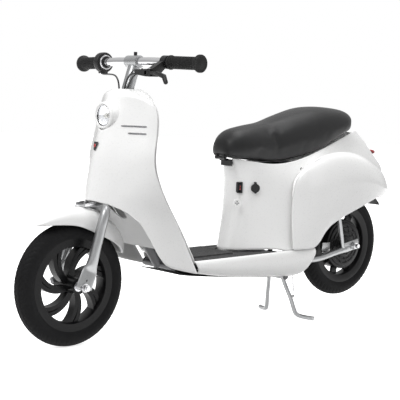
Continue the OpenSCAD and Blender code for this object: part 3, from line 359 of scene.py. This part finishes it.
def shell(node, material, body, levels=2, crease=0.75, name=None):
    """A moulded panel: the CAD grid welded, its triangles paired back into quads and subdivided smooth."""
    bm = cad_copy(node)
    joined = []
    longest = {f: max(f.edges, key=lambda e: e.calc_length()) for f in bm.faces if len(f.verts) == 3}
    for e in bm.edges:
        if len(e.link_faces) == 2:
            a, b = e.link_faces
            if longest.get(a) is e and longest.get(b) is e and e.calc_face_angle(9) < 0.5:
                joined.append(e)
    bmesh.ops.dissolve_edges(bm, edges=joined, use_verts=False)
    bmesh.ops.join_triangles(bm, faces=[f for f in bm.faces if len(f.verts) == 3], angle_face_threshold=0.5,
                             angle_shape_threshold=1.2)
    layer = bm.edges.layers.float.get("crease_edge") or bm.edges.layers.float.new("crease_edge")
    for e in bm.edges:
        if len(e.link_faces) == 2 and e.calc_face_angle(0) > math.radians(48):
            e[layer] = crease
    obj = piece(name or node + "_skin", bm, material, body, smooth=170)
    mod = obj.modifiers.new("smooth", "SUBSURF")
    mod.levels = levels
    mod.render_levels = levels
    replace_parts(obj, node)
    return obj


def hard(node, material, body, bevel=0.8, segments=2, angle=30.0):
    """A machined or cast part: the CAD mesh cleaned and its edges broken."""
    bm = cad_copy(node)
    bmesh.ops.dissolve_limit(bm, angle_limit=math.radians(1.0), verts=bm.verts, edges=bm.edges)
    obj = piece(node + "_part", bm, material, body, smooth=35)
    mod = obj.modifiers.new("edges", "BEVEL")
    mod.width = bevel * mm
    mod.segments = segments
    mod.limit_method = "ANGLE"
    mod.angle_limit = math.radians(angle)
    mod.harden_normals = True
    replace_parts(obj, node)
    return obj


# ---------------------------------------------------------------- camera, lights, floor
cam_data = bpy.data.cameras.new("photo camera")
cam_data.sensor_fit = "HORIZONTAL"
cam_data.sensor_width = 36.0
cam_data.lens = 1143.05 / 400 * 36.0
cam = bpy.data.objects.new("photo camera", cam_data)
bpy.context.scene.collection.objects.link(cam)
cam.matrix_world = Matrix(((-0.75134, -0.03563, 0.65895, 2.16984), (0.65911, -0.08976, 0.74667, 2.36019),
                           (0.03254, 0.99533, 0.09092, 0.64486), (0, 0, 0, 1)))
bpy.context.scene.camera = cam


def area(name, place, target, size, power, tint=(1, 1, 1)):
    data = bpy.data.lights.new(name, "AREA")
    data.shape = "RECTANGLE"
    data.size, data.size_y = size
    data.energy = power
    data.color = tint
    obj = bpy.data.objects.new(name, data)
    bpy.context.scene.collection.objects.link(obj)
    obj.location = place
    obj.rotation_euler = (Vector(target) - Vector(place)).to_track_quat("-Z", "Y").to_euler()
    return obj


area("key softbox", (2.4, 0.6, 2.6), (0.0, 0.0, 0.4), (1.6, 1.6), 46)
area("top softbox", (-0.4, 0.2, 3.2), (0.0, 0.0, 0.3), (2.6, 1.4), 54)
area("side strip", (-2.2, 2.8, 1.5), (-0.3, 0.0, 0.4), (0.8, 2.0), 6)

# white to the eye; as a light it is brighter above than below
world = bpy.data.worlds.new("studio")
bpy.context.scene.world = world
world.use_nodes = True
wn = world.node_tree
back = wn.nodes["Background"]
where = wn.nodes.new("ShaderNodeTexCoord")
split = wn.nodes.new("ShaderNodeSeparateXYZ")
wn.links.new(where.outputs["Generated"], split.inputs[0])
grade = wn.nodes.new("ShaderNodeMapRange")
grade.interpolation_type = "SMOOTHSTEP"
grade.inputs["From Min"].default_value = -0.5
grade.inputs["From Max"].default_value = 0.9
grade.inputs["To Min"].default_value = 0.3
grade.inputs["To Max"].default_value = 0.9
wn.links.new(split.outputs["Z"], grade.inputs["Value"])
path = wn.nodes.new("ShaderNodeLightPath")
pick = wn.nodes.new("ShaderNodeMix")
wn.links.new(path.outputs["Is Camera Ray"], pick.inputs[0])
wn.links.new(grade.outputs["Result"], pick.inputs[2])
pick.inputs[3].default_value = 1.0
wn.links.new(pick.outputs[0], back.inputs["Strength"])
back.inputs["Color"].default_value = (1, 1, 1, 1)

floor_mat = mat("studio floor", (0.96, 0.96, 0.96), 0.7, vary=0.005, vary_scale=0.7, fine=3.0, bump=0.0)
fb = floor_mat.node_tree.nodes["Principled BSDF"]
fb.inputs["Emission Color"].default_value = (1, 1, 1, 1)
fb.inputs["Emission Strength"].default_value = 0.75
bm = bmesh.new()
bmesh.ops.create_circle(bm, cap_ends=True, radius=14.0, segments=96)
me = bpy.data.meshes.new("studio_floor")
bm.to_mesh(me)
bm.free()
me.materials.append(floor_mat)
floor = bpy.data.objects.new("studio_floor", me)
bpy.context.scene.collection.objects.link(floor)
floor.location.z = cad_box[0][2] - 0.0004
floor.visible_diffuse = False
bpy.context.scene.view_settings.view_transform = "Standard"


# ---------------------------------------------------------------- body panels
def clamp(v):
    return min(1.0, max(0.0, v))


def blunt(p):
    """The tail's rear end, made fuller behind and hung lower at its corner."""
    back, z = (RX - p.x) / mm, p.z / mm
    drop = 22 * clamp((back - 70) / 90) * clamp((440 - z) / 70)
    fuller = 15 * clamp((back - 95) / 60) * math.exp(-((z - 436) / 34) ** 2)
    return p - Vector((fuller, 0, drop)) * mm


for node, levels in (("leg_shield", 2), ("rear_apron", 2), ("tail_body", 2), ("tail_cowls", 2), ("sill_panels", 2)):
    skin = shell(node, "white", "chassis", levels)
    if node in ("tail_body", "tail_cowls"):
        for v in skin.data.vertices:
            v.co = blunt(v.co)
    if node == "leg_shield":
        shield = skin
        for v in skin.data.vertices:          # a soft ridge down the middle
            y, z = abs(v.co.y) / mm, v.co.z / mm
            if y < 22 and 330 < z < 545:
                v.co.x += 3.0 * mm * (1 - y / 22) * math.sin(math.pi * (z - 330) / 215) ** 0.5
shell("front_fender", "white", "steering", 2)
shell("belly_pan", "plastic", "chassis", 2)
hard("arch_liner", "white_matte", "chassis", 0.6)
hard("floor_deck", "white", "chassis", 1.2)

# rolled lip along each cowl's upper border
LIP = [(321, 110, 372), (308, 106, 412), (282, 104, 437), (238, 104, 466), (187, 103, 482), (97, 100, 491), (7, 89, 478),
       (-73, 67, 452), (-136, 43, 427)]
for s in (-1, 1):
    n = len(LIP)
    lip = sweep([blunt(ra(x, s * (y - 1.5), z - 4)) for x, y, z in LIP], [1.5, 4.2] + [4.6] * (n - 4) + [4.0, 1.5], 6, 16)
    piece("cowl_lip_" + ("left" if s > 0 else "right"), lip, "white", "chassis", 60)


# ---------------------------------------------------------------- wheels
def tyre(name, centre, body, node):
    """Satin sidewalls with a bead ridge, and a road tread of zigzag grooves with slanted shoulder cuts."""
    r, w = TYRE_R / mm, (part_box(node)[1][1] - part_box(node)[0][1]) / mm
    half = w / 2
    prof = []
    for k in range(0, 61):
        a = math.pi * (k / 60)
        x, y = math.sin(a), -math.cos(a)
        rr = r - half + half * math.copysign(abs(x) ** 0.92, x)
        prof.append((y * half * 0.999, rr))
    low = r - 45.0
    left = [(-half * 0.74, low + 1), (-half * 0.82, low + 5), (-half * 0.9, low + 9), (-half * 0.93, low + 12)]
    right = [(-a, b) for a, b in left[::-1]]
    prof = left + [p for p in prof if p[1] > low + 14] + right
    n = 480
    rows = [[(math.cos(2 * math.pi * i / n), math.sin(2 * math.pi * i / n)) for i in range(n)]]

    def cut(a, i):
        y, rr = prof[i]
        t = abs(y) / half
        if rr < r - half * 0.62:
            ridge = 0.5 if abs(rr - (r - half * 1.02)) < 1.2 else 0.0
            return ridge
        ph = a / (2 * math.pi) * 60
        tri = abs((ph % 1.0) - 0.5) * 2
        d = 0.0
        if abs(y - (tri - 0.5) * 5.0) < 1.5 or abs(abs(y) - 11.5 - (tri - 0.5) * 3.2) < 1.3:
            d = -1.5
        slant = ((ph + abs(y) / 16.0 + (0.25 if y > 0 else 0.0)) * 1.0) % 1.0
        if t > 0.52 and slant < 0.26:
            d = -1.5
        return d
    bm = lathe(prof, centre, (0, 1, 0), n, wobble=cut, caps=False)
    obj = piece(name, bm, "tyre", body, 60)
    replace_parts(obj, node)
    return obj


tyre("front_tyre_road", FRONT, "front_wheel", "front_tyre")
tyre("rear_tyre_road", REAR, "rear_wheel", "rear_tyre")
hard("front_rim", "rim", "front_wheel", 1.6, 3)

# hub motor: drum with stepped rings, curved fins on its left cover and nine webs to the rim
r_rim = TYRE_R / mm - 45
w_rim = 44.0
h = w_rim / 2
bm = lathe([(-h, r_rim + 3), (-h, r_rim + 5), (-h + 2.5, r_rim + 5), (-h + 3.5, r_rim - 1), (-h + 9, r_rim - 3),
            (-h + 13, r_rim - 10), (h - 13, r_rim - 10), (h - 9, r_rim - 3), (h - 3.5, r_rim - 1), (h - 2.5, r_rim + 5),
            (h, r_rim + 5), (h, r_rim + 3), (h - 0.8, r_rim - 8), (h - 3, r_rim - 16), (h - 7, r_rim - 18.5),
            (-h + 7, r_rim - 18.5), (-h + 3, r_rim - 16), (-h + 0.8, r_rim - 8), (-h, r_rim + 3)], REAR, (0, 1, 0), 128,
           caps=False)
bmesh.ops.remove_doubles(bm, verts=bm.verts, dist=1e-6)
lathe([(-28, 20), (-28.6, 22), (-29, 60), (-27, 66), (-25, 74), (-22, 76), (22, 76), (24.5, 74.5), (25.4, 71), (25.6, 68),
       (28.5, 66.5), (29.4, 64), (29.4, 59), (27.4, 57.5), (27.2, 53), (29.6, 51.5), (29.8, 47), (28.0, 45.5), (28.0, 40),
       (30.6, 38), (31.4, 34), (31.6, 28), (36, 26), (37, 23), (37, 14), (34, 12), (34, 8)], REAR, (0, 1, 0), 96, bm)
for k in range(9):
    a = math.radians(40 * k)
    d = Vector((math.cos(a), 0, -math.sin(a)))
    block((22, 26, 8), frame_at(REAR + d * 0.086, (0, 1, 0), d), bm, 2.4, 3)
for k in range(12):
    a0 = 2 * math.pi * k / 12
    pts = []
    for j in range(6):
        rr, aa = 40 + 5.2 * j, a0 + 0.085 * j
        pts.append(REAR + Vector((rr * math.cos(aa), 28.6 - 0.25 * j, -rr * math.sin(aa))) * mm)
    sweep(pts, [1.4, 2.2, 2.4, 2.4, 2.2, 1.2], 3, 10, bm)
for k in range(6):
    a = math.radians(60 * k + 12)
    lathe([(29, 2.9), (32.4, 2.9), (33, 2.3), (33, 1.5), (31.6, 1.4)], REAR + Vector((32 * math.cos(a), 0, 32 * math.sin(a))) * mm,
          (0, 1, 0), 16, bm)
hub = piece("rear_hub_motor", bm, "motor", "rear_wheel", 42)
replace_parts(hub, "rear_wheel_motor")

# ---------------------------------------------------------------- fork, stem, handlebar
LEG_Y, DROP_Y = 60.0, 62.0
LEG = [(-71, 42, 355), (-69, 52, 353), (-63, 58.5, 342), (-57, LEG_Y, 325), (-51, LEG_Y, 306), (-45, LEG_Y, 284),
       (-37, LEG_Y, 257), (-30, LEG_Y, 231), (-23, 60.5, 211), (-18, 61, 199), (-12, DROP_Y, 185), (-5, DROP_Y, 168),
       (-1, DROP_Y, 157), (0, DROP_Y, 153)]
LEG_R = [8, 11, 12.6] + [13] * 9 + [12.5, 11]
LEG_FLAT = [(1, 1)] * 7 + [(1.02, 0.96), (1.15, 0.75), (1.42, 0.34), (1.5, 0.27), (1.54, 0.26), (1.56, 0.26), (1.4, 0.24)]
bm = bmesh.new()
for s in (-1, 1):
    sweep([fa(x, s * y, z) for x, y, z in LEG], LEG_R, 5, 28, bm, LEG_FLAT)
sweep([fa(-71, -46, 355), fa(-71, 46, 355)], 9.2, 4, 28, bm)
lathe([(0, 8), (0, 14.7), (30, 14.7), (36, 13.4), (337, 12.7), (339, 8)], on_axis(-9), AXIS, 48, bm)
lathe([(0, 12), (0, 18), (1, 18.7), (5, 18.7), (6, 18), (6, 12)], on_axis(0), AXIS, 48, bm)
fork = piece("fork_tubes", bm, "fork", "steering", 50)
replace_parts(fork, "fork")
# a thin black disc on each dropout stands in for its hole: painted shade
for s in (-1, 1):
    hole = lathe([(0, 3.0), (0.2, 3.2), (0.4, 3.0)], fa(-8, s * (DROP_Y + 3.4), 176), (0, s, 0), 20)
    piece("dropout_hole_shade_" + ("left" if s > 0 else "right"), hole, "plastic", "steering")

bar_mid = fa(-188, 0, 727)
HALF = 246.0


def bar_at(y):
    k = (abs(y) - 70) / (HALF - 70)
    return bar_mid + (Vector((0, y, 0)) if abs(y) <= 70 else Vector((-15 * k, y, -4.5 * k))) * mm


def bar_out(s):
    return Vector((-15, s * (HALF - 70), -4.5)).normalized()


bm = sweep([bar_at(-HALF + 6), bar_at(-150), bar_at(-92), bar_at(-70), bar_at(-45), bar_at(45), bar_at(70), bar_at(92),
            bar_at(150), bar_at(HALF - 6)], 11.1, 6, 32)
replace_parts(piece("handlebar_tube", bm, "chrome", "steering", 50), "handlebar")
hard("steering_stem", "fork", "steering", 1.2, 3)
hard("stem_bolt", "plastic", "steering", 0.4)


def grip(name, length, s, body, node):
    """Rubber grip: inner collar, fine ribs, a flared end flange with a knurled rim and a dished end."""
    start = HALF - length
    prof = [(0, 12), (0, 17.6), (1, 18.4), (4, 18.4), (5, 17.6), (5.6, 15.6), (9, 15.4)]
    n = int((length - 30) / 4.2)
    for k in range(n):
        z = 9.5 + k * (length - 26) / n
        prof += [(z, 15.3), (z + 0.5, 16.2), (z + 2.2, 16.3), (z + 2.7, 15.3)]
    prof += [(length - 13, 15.6), (length - 10, 17.2), (length - 7.5, 20.4), (length - 5.5, 21.9), (length - 4.8, 22.4),
             (length + 1.2, 22.4), (length + 1.9, 21.6), (length + 1.7, 18.5), (length + 0.9, 17.6), (length + 0.9, 8),
             (length + 1.5, 7), (length + 1.5, 1)]
    last = len(prof)

    def knurl(a, i):
        if last - 8 <= i <= last - 7:
            return 0.0 if int(a / (2 * math.pi) * 80) % 2 else -0.9
        return 0.25 * math.sin(a * 24) if 7 < i < last - 12 else 0.0
    bm = lathe(prof, bar_at(s * start), bar_out(s), 160, wobble=knurl)
    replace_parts(piece(name, bm, "rubber", body, 40), node)


grip("left_grip_rubber", 106, 1, "steering", "left_grip")
grip("throttle_rubber", 94, -1, "throttle", "throttle_grip")

# twist throttle housing: disc, clamp collar, cable box and screw
out = bar_out(-1)
h_at = bar_at(-(HALF - 94 - 0.4))
bm = lathe([(-0.3, 12), (-0.3, 24), (-1.2, 26.2), (-3, 27), (-8.6, 27), (-9.2, 26.2), (-10, 26.2), (-10.6, 27), (-17, 27),
            (-19, 26), (-20, 24), (-20.4, 17.4), (-25, 17), (-26, 15.8), (-26, 11.4)], h_at, out, 72)
block((24, 17, 29), frame_at(h_at + out * -0.0095 + Vector((0, 0, -0.0155)), (0, 0, 1)), bm, 3.0, 3)
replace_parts(piece("throttle_body", bm, "plastic", "steering", 40), "throttle_housing")
bm = lathe([(-20.6, 11.4), (-20.6, 18.6), (-21.4, 19.2), (-25.0, 19.2), (-25.8, 18.6), (-25.8, 11.4)], h_at, out, 64)
for s in (-1, 1):
    lathe([(0, 3), (0, 3.4), (0.8, 3.8), (3, 3.8), (3.4, 3.2), (3.4, 1.6), (2, 1.5)],
          h_at + out * -0.0095 + Vector((0.0075 * s, 0, -0.029)), (0.3 * s, 0.0, -1), 20, bm)
piece("throttle_clamp_ring", bm, "zinc", "steering", 40)

hard("brake_perch", "plastic", "steering", 1.6, 3, 25)
hard("brake_lever", "plastic", "brake", 0.8, 2, 40)
hard("lever_screw", "zinc", "steering", 0.5)

# ---------------------------------------------------------------- cables from the lever and throttle into the shield
perch = bar_at(HALF - 106 - 14)
lever = perch + Vector((44, -12, -28)) * mm
brake_pts = [lever + Vector((-2, -54, 2)) * mm, lever + Vector((-2, -63, 2)) * mm, lever + Vector((-6, -84, -4)) * mm,
             on_axis(352, 24, 38, 4), on_axis(335, 25, 20, 0), on_axis(305, 19, 11, 0), on_axis(262, 18, 8, 0),
             on_axis(240, 18, 7, 0)]
thr = bar_at(-(HALF - 94 - 0.4))
thr_pts = [thr + Vector((3, 11, -26)) * mm, thr + Vector((12, 26, -31)) * mm, on_axis(335, 27, -30, 5),
           on_axis(305, 18, -13, 0), on_axis(262, 18, -8, 0), on_axis(240, 18, -7, 0)]
# the lever's switch lead runs beside the brake cable
sw_pts = [lever + Vector((-18, -46, 2)) * mm, lever + Vector((-22, -62, 6)) * mm, on_axis(358, 8, 46, 2),
          on_axis(335, 14, 24, 0), on_axis(305, 12, 14, 0), on_axis(262, 14, 11, 0), on_axis(240, 15, 10, 0)]
for name, pts, r, node in (("brake_cable", brake_pts, 2.5, "brake_cable_front"),
                           ("throttle_lead", thr_pts, 2.2, "throttle_wire"), ("switch_lead", sw_pts, 1.8, None)):
    obj = piece(name, sweep(pts, r, 10, 14), "cable", None, 60)
    if node:
        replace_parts(obj, node)
    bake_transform(obj)
for name, a, b in (("brake_ferrule", brake_pts[0], brake_pts[1]), ("throttle_ferrule", thr_pts[0], thr_pts[1])):
    v = (b - a).normalized()
    bm = lathe([(-3, 2.6), (-3, 4.0), (-2, 4.4), (6, 4.4), (7, 3.4), (12, 3.0), (12.5, 2.6)], a, v, 24)
    piece(name, bm, "zinc" if name[0] == "b" else "plastic", "steering",
          40)

# ---------------------------------------------------------------- headlight
lamp = fa(-92, 0, 586)
X = Vector((1, 0, 0))
bm = lathe([(-34, 41), (-26, 39.6), (-18, 37.6), (-12, 36.2), (-8, 35.7), (-5, 35.5), (-3, 35.5), (-1.6, 35.0),
            (0.2, 33.7), (1.2, 32.0), (1.5, 30.2), (1.0, 28.8), (-0.6, 27.4), (-4, 26.6)], lamp, X, 96, caps=False)
bez = piece("lamp_bezel_ring", bm, "white", "chassis", 40)
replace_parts(bez, "lamp_bezel")
bm = lathe([(-1.4, 26.9), (-0.6, 27.3), (0.2, 26.8), (-0.2, 25.8), (-3.0, 25.2)], lamp, X, 96, caps=False)
piece("lamp_inner_ring", bm, "chrome", "chassis", 40)


def facets(a, i):
    return (1.5 * abs(math.sin(a * 9)) + 0.8 * (i % 3)) * (1.0 if 0 < i < 9 else 0.0)


prof = [(-15.6 + 9.4 * (t ** 2.1), 4.4 + 21.2 * t) for t in [k / 9 for k in range(10)]]
bm = lathe(prof + [(-6.6, 26.2), (-15.9, 8), (-15.9, 4.4)], lamp, X, 144, wobble=facets, caps=False)
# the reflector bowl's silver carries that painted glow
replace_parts(piece("lamp_reflector_bowl", bm, "silver", "chassis", 15), "lamp_reflector")
bm = lathe([(-3.4, 25.6), (-1.8, 24), (-0.2, 20), (0.9, 15), (1.6, 9), (1.9, 3), (1.9, 0.02), (0.4, 0.02), (0.1, 9),
            (-0.6, 15), (-1.7, 20), (-3.4, 23.6), (-3.4, 25.6)], lamp, X, 96, caps=False)
bmesh.ops.remove_doubles(bm, verts=bm.verts, dist=1e-6)
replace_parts(piece("lamp_glass_dome", bm, "glass", "chassis", 40), "lamp_lens")
bm = lathe([(-20, 4), (-17, 4.2), (-14, 6.2), (-11, 6.8), (-8, 6.0), (-5.4, 4.0), (-4.4, 1.5), (-4.2, 0.05)], lamp, X, 40)
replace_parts(piece("lamp_bulb_glass", bm, "bulb", "chassis", 60), "lamp_bulb")

# ---------------------------------------------------------------- plain badge and trim
hard("front_badge", "badge", "chassis", 0.6, 3)
n_out = Vector((math.sin(math.radians(76)), 0, math.cos(math.radians(76))))
b_at = fa(-71.6, 0, 509)
bm = lathe([(2.6, 1), (2.6, 4.2), (3.6, 4.6), (4.2, 4.0), (4.6, 2.4), (4.7, 0.05)], b_at, n_out, 40)
piece("badge_disc", bm, "badge_red", "chassis", 40)
# the trim bars lie on the shield's surface
surface = BVHTree.FromObject(shield, bpy.context.evaluated_depsgraph_get())
bm = bmesh.new()
along, out_n = Vector((-0.469, 0.883, 0)), Vector((0.883, 0.469, 0))
for k, long in ((0, 70), (1, 50)):
    pts = []
    for j in range(13):
        t = (j / 12 - 0.5) * long
        start = fa(-130 + 5 * k, 79.4 + k, 562 - 18 * k) + along * (t + 12 * k) * mm + out_n * 0.05
        hit = surface.ray_cast(start, -out_n)[0]
        if hit:
            pts.append(hit + out_n * 0.6 * mm)
    n = len(pts)
    sweep(pts, [0.6] + [1.7] * (n - 2) + [0.6], 3, 16, bm, [(0.8, 1.25)] * n)
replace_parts(piece("shield_trim_bars", bm, "trim", "chassis", 50), "shield_trim")

# ---------------------------------------------------------------- floor mat with lengthwise ribs
hard("floor_mat", "mat", "chassis", 1.6, 3)
bm = bmesh.new()
tilt = math.tan(math.radians(0.93))
for k in range(-9, 10):
    y = k * 7.0
    sweep([fa(x, y, 202.2 - tilt * x + 6.0) for x in (-346, -400, -450, -497)], 1.5, 3, 8, bm, [(1.2, 0.7)] * 4)
for k in (0, 1, 2):
    for s in (-1, 1):
        y = s * (74 + 7 * k)
        sweep([fa(x, y, 202.2 - tilt * x) for x in (-338, -420, -500, -560 - 20 * k)], 1.4, 3, 8, bm, [(1.2, 0.7)] * 4)
piece("mat_ribs", bm, "mat", "chassis", 60)

# ---------------------------------------------------------------- saddle
ROWS = [(514, 508, 490, 20), (506, 532, 486, 40), (477, 554, 482, 57), (434, 563, 477, 66), (355, 573, 470, 77),
        (275, 596, 480, 91), (192, 617, 501, 102), (132, 622, 531, 106), (69, 618, 555, 99), (30, 609, 563, 70),
        (2, 594, 565, 44), (-22, 573, 563, 16)]
EDGE = [(0, 1), (0.35, 0.975), (0.62, 0.89), (0.82, 0.74), (0.95, 0.52), (1, 0.28), (0.97, 0.08), (0.88, 0), (0.5, 0.02)]
seat_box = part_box("seat_cushion")
SKIRT = 6.0                           # the cover hangs this far below the pan


def saddle_rings(inset):
    rings = []
    for x, crown, low, half in spline(ROWS, 4):
        low -= SKIRT
        hgt = crown - low
        right = [(a * (half - inset), low + inset * 0.6 + b * (hgt - 1.6 * inset)) for a, b in spline(EDGE, 2)]
        ring = [ra(x - 0.004 * (x - 240) * inset, -y, z) for y, z in right]
        ring += [ra(x - 0.004 * (x - 240) * inset, y, z) for y, z in right[-1:0:-1]]
        rings.append(ring)
    return rings


bm = bmesh.new()
stitch(bm, saddle_rings(2.5))
seat = piece("saddle_cushion", bm, "vinyl", None, 180)


def settle(obj, voxel=0.005, pressure=4.0, frames=20, cap=0.004):
    """Closed cover puffed by a little cloth pressure, then fixed; no point moves further than the cap."""
    scene = bpy.context.scene
    mod = obj.modifiers.new("remesh", "REMESH")
    mod.mode = "VOXEL"
    mod.voxel_size = voxel
    dep = bpy.context.evaluated_depsgraph_get()
    me = bpy.data.meshes.new_from_object(obj.evaluated_get(dep))
    obj.modifiers.clear()
    obj.data = me
    rest = [v.co.copy() for v in me.vertices]
    cloth = obj.modifiers.new("cover", "CLOTH")
    cloth.settings.quality = 5
    cloth.settings.mass = 0.3
    cloth.settings.tension_stiffness = 40
    cloth.settings.compression_stiffness = 40
    cloth.settings.bending_stiffness = 2.0
    cloth.settings.use_pressure = True
    cloth.settings.uniform_pressure_force = pressure
    cloth.settings.effector_weights.gravity = 0.0
    cloth.point_cache.frame_start = 1
    cloth.point_cache.frame_end = frames
    for f in range(1, frames + 1):
        scene.frame_set(f)
    dep = bpy.context.evaluated_depsgraph_get()
    puffed = bpy.data.meshes.new_from_object(obj.evaluated_get(dep))
    obj.modifiers.clear()
    scene.frame_set(1)
    for v, p, r in zip(me.vertices, puffed.vertices, rest):
        d = p.co - r
        if d.length > cap:
            d *= cap / d.length
        v.co = r + d
    bpy.data.meshes.remove(puffed)


settle(seat)
seat.data.materials.clear()
seat.data.materials.append(M["vinyl"])
bm = bmesh.new()
bm.from_mesh(seat.data)
for _ in range(3):
    bmesh.ops.smooth_vert(bm, verts=bm.verts, factor=0.5, use_axis_x=True, use_axis_y=True, use_axis_z=True)
low, high = seat_box
for v in bm.verts:
    v.co.y = max(low[1] + 1e-4, min(high[1] - 1e-4, v.co.y))
for f in bm.faces:
    f.smooth = True
bm.to_mesh(seat.data)
bm.free()
sub = seat.modifiers.new("fine", "SUBSURF")
sub.levels = sub.render_levels = 1
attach(seat, "seat")
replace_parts(seat, "seat_cushion")
hard("seat_pan", "plastic", "seat", 0.8)
hard("seat_hinge", "plastic", "chassis", 0.6)

# ---------------------------------------------------------------- switch, charge port, vent, screws
hard("switch_housing", "plastic", "chassis", 0.8, 3)
hard("rocker_switch", "plastic", "rocker", 0.6, 3)
face_n = Vector((math.cos(math.radians(62)), math.sin(math.radians(62)), 0))
up = Vector((0, 0, 1))
bm = block((1.2, 5.0, 1.2), frame_at(middle("rocker_switch") + face_n * 5.6 * mm + up * 3 * mm, up.cross(face_n), face_n))
lathe([(0, 1.6), (1.0, 1.6), (1.2, 1.2), (1.2, 0.05)], middle("rocker_switch") + face_n * 4.6 * mm - up * 4 * mm, face_n, 20, bm)
piece("rocker_mark", bm, "red", "rocker", 40)
hard("charge_port", "plastic", "chassis", 0.8, 3)
hard("charge_cap", "plastic", "port_cap", 1.0, 3)
hard("tail_marker", "marker", "chassis", 1.5, 3).location = Vector((7.4, 0, -9.4)) * mm   # sunk into the skin

wall_n = Vector((math.cos(math.radians(63)), math.sin(math.radians(63)), 0))
side_n = Vector((0, 0, 1)).cross(wall_n)
v_at = ra(482, 50, 350)
bm = lathe([(-2, 8), (-2, 11.4), (1.2, 11.4), (2.0, 10.8), (2.2, 9.6), (1.9, 8.6), (1.5, 8.2), (1.5, 0.05)], v_at, wall_n, 48)
piece("round_vent", bm, "white", "chassis", 40)
# black dots raised on the vent face stand in for its holes: painted shade of the holes' dark insides
bm = bmesh.new()
for dy, dz in ((0, 0), (4.4, 0), (-4.4, 0), (0, 4.4), (0, -4.4)):
    lathe([(1.4, 0.6), (1.4, 1.5), (1.9, 1.5), (1.9, 0.05)], v_at + (side_n * dy + Vector((0, 0, dz))) * mm, wall_n, 16, bm)
piece("vent_hole_shade", bm, "plastic", "chassis", 40)
bm = lathe([(-2, 3), (-2, 4.6), (0.6, 4.6), (1.4, 3.8), (1.6, 2.4), (0.8, 2.2), (0.8, 0.05)], fa(-733, 93, 444), (0.1, 0.99, 0.1), 28)
piece("cowl_screw", bm, "plastic", "chassis", 40)

# ---------------------------------------------------------------- rear stays, stand, axle
RZ = REAR.z / mm
bm = bmesh.new()
for s in (-1, 1):
    sweep([ra(239, s * 62, 176), ra(205, s * 62, 173), ra(171, s * 62, 172), ra(136, s * 62, 175), ra(100, s * 62, 182),
           ra(60, s * 62, 189), ra(24, s * 62, RZ - 8), ra(10, s * 62, RZ - 3)], [9.3] * 6 + [8.6, 7.0], 5, 24, bm,
          [(1, 1)] * 6 + [(0.7, 1.25), (0.42, 1.5)])
    block((66, 7, 30), Matrix.Translation(ra(8, s * 62, RZ)) @ Matrix.Rotation(math.radians(10), 4, "Y"), bm, 2.4, 3)
    sweep([ra(44, s * 62, RZ - 8), ra(60, s * 62, 262), ra(78, s * 62, 328), ra(104, s * 59, 382), ra(139, s * 55, 444)],
          6.5, 5, 20, bm)
    lathe([(-2, 8), (-2, 11.4), (-1, 12), (1, 12), (2, 11.4), (2, 8)], REAR + Vector((0, s * 0.0672, 0)), (0, 1, 0), 40, bm)
sweep([ra(239, -62, 178), ra(239, 62, 178)], 11, 3, 24, bm)
block((34, 4, 30), Matrix.Translation(ra(98, 41, 200)), bm, 1.2, 2)
block((16, 14, 6), Matrix.Translation(ra(98, 49, 188)), bm, 1.0, 2)
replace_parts(piece("rear_stays", bm, "fork", "chassis", 45), "rear_frame")

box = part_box("centre_stand")
low_z = box[0][2]
SX = (middle("stand_bracket").x - FX) / mm
bm = bmesh.new()
for s in (-1, 1):
    sweep([fa(SX, s * 27, 124), fa(SX - 6, s * 34, 100), fa(SX - 17, s * 48, 60), fa(SX - 25, s * 57, 26),
           fa(SX - 29, s * 63, 13.5), fa(SX - 35, s * 75, 8.5), fa(SX - 44, s * 95, 6.6), fa(SX - 52, s * 113, 6.05)],
          [6] * 8, 6, 24, bm)
lathe([(-38, 4.2), (-38, 7.8), (-37.3, 8.5), (37.3, 8.5), (38, 7.8), (38, 4.2)], fa(SX, 0, 124), (0, 1, 0), 40, bm)
sweep([fa(SX - 21, 47, 64), fa(SX - 31, 47, 64)], 4, 2, 16, bm)
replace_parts(piece("stand_rods", bm, "fork", "stand", 50), "centre_stand")

top, end = fa(SX - 21, 41, 138), fa(SX - 31, 47, 66)
v = (end - top).normalized()
u = v.cross(Vector((1, 0, 0))).normalized()
w = v.cross(u)
length = (end - top).length / mm
pts = [top, top + v * 5 * mm]
turns, r_coil = 15, 4.2
for k in range(turns * 10 + 1):
    t = k / (turns * 10)
    a = 2 * math.pi * turns * t
    pts.append(top + v * (9 + (length - 20) * t) * mm + (u * math.cos(a) + w * math.sin(a)) * r_coil * mm)
pts += [end - v * 5 * mm, end]
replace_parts(piece("stand_coil", sweep(pts, 0.85, 1, 8), "zinc", "stand", 60), "stand_spring")
hard("stand_bracket", "frame", "chassis", 0.8)
hard("front_axle_nuts", "zinc", "steering", 0.5)
hard("fender_bracket", "zinc", "steering", 0.4)
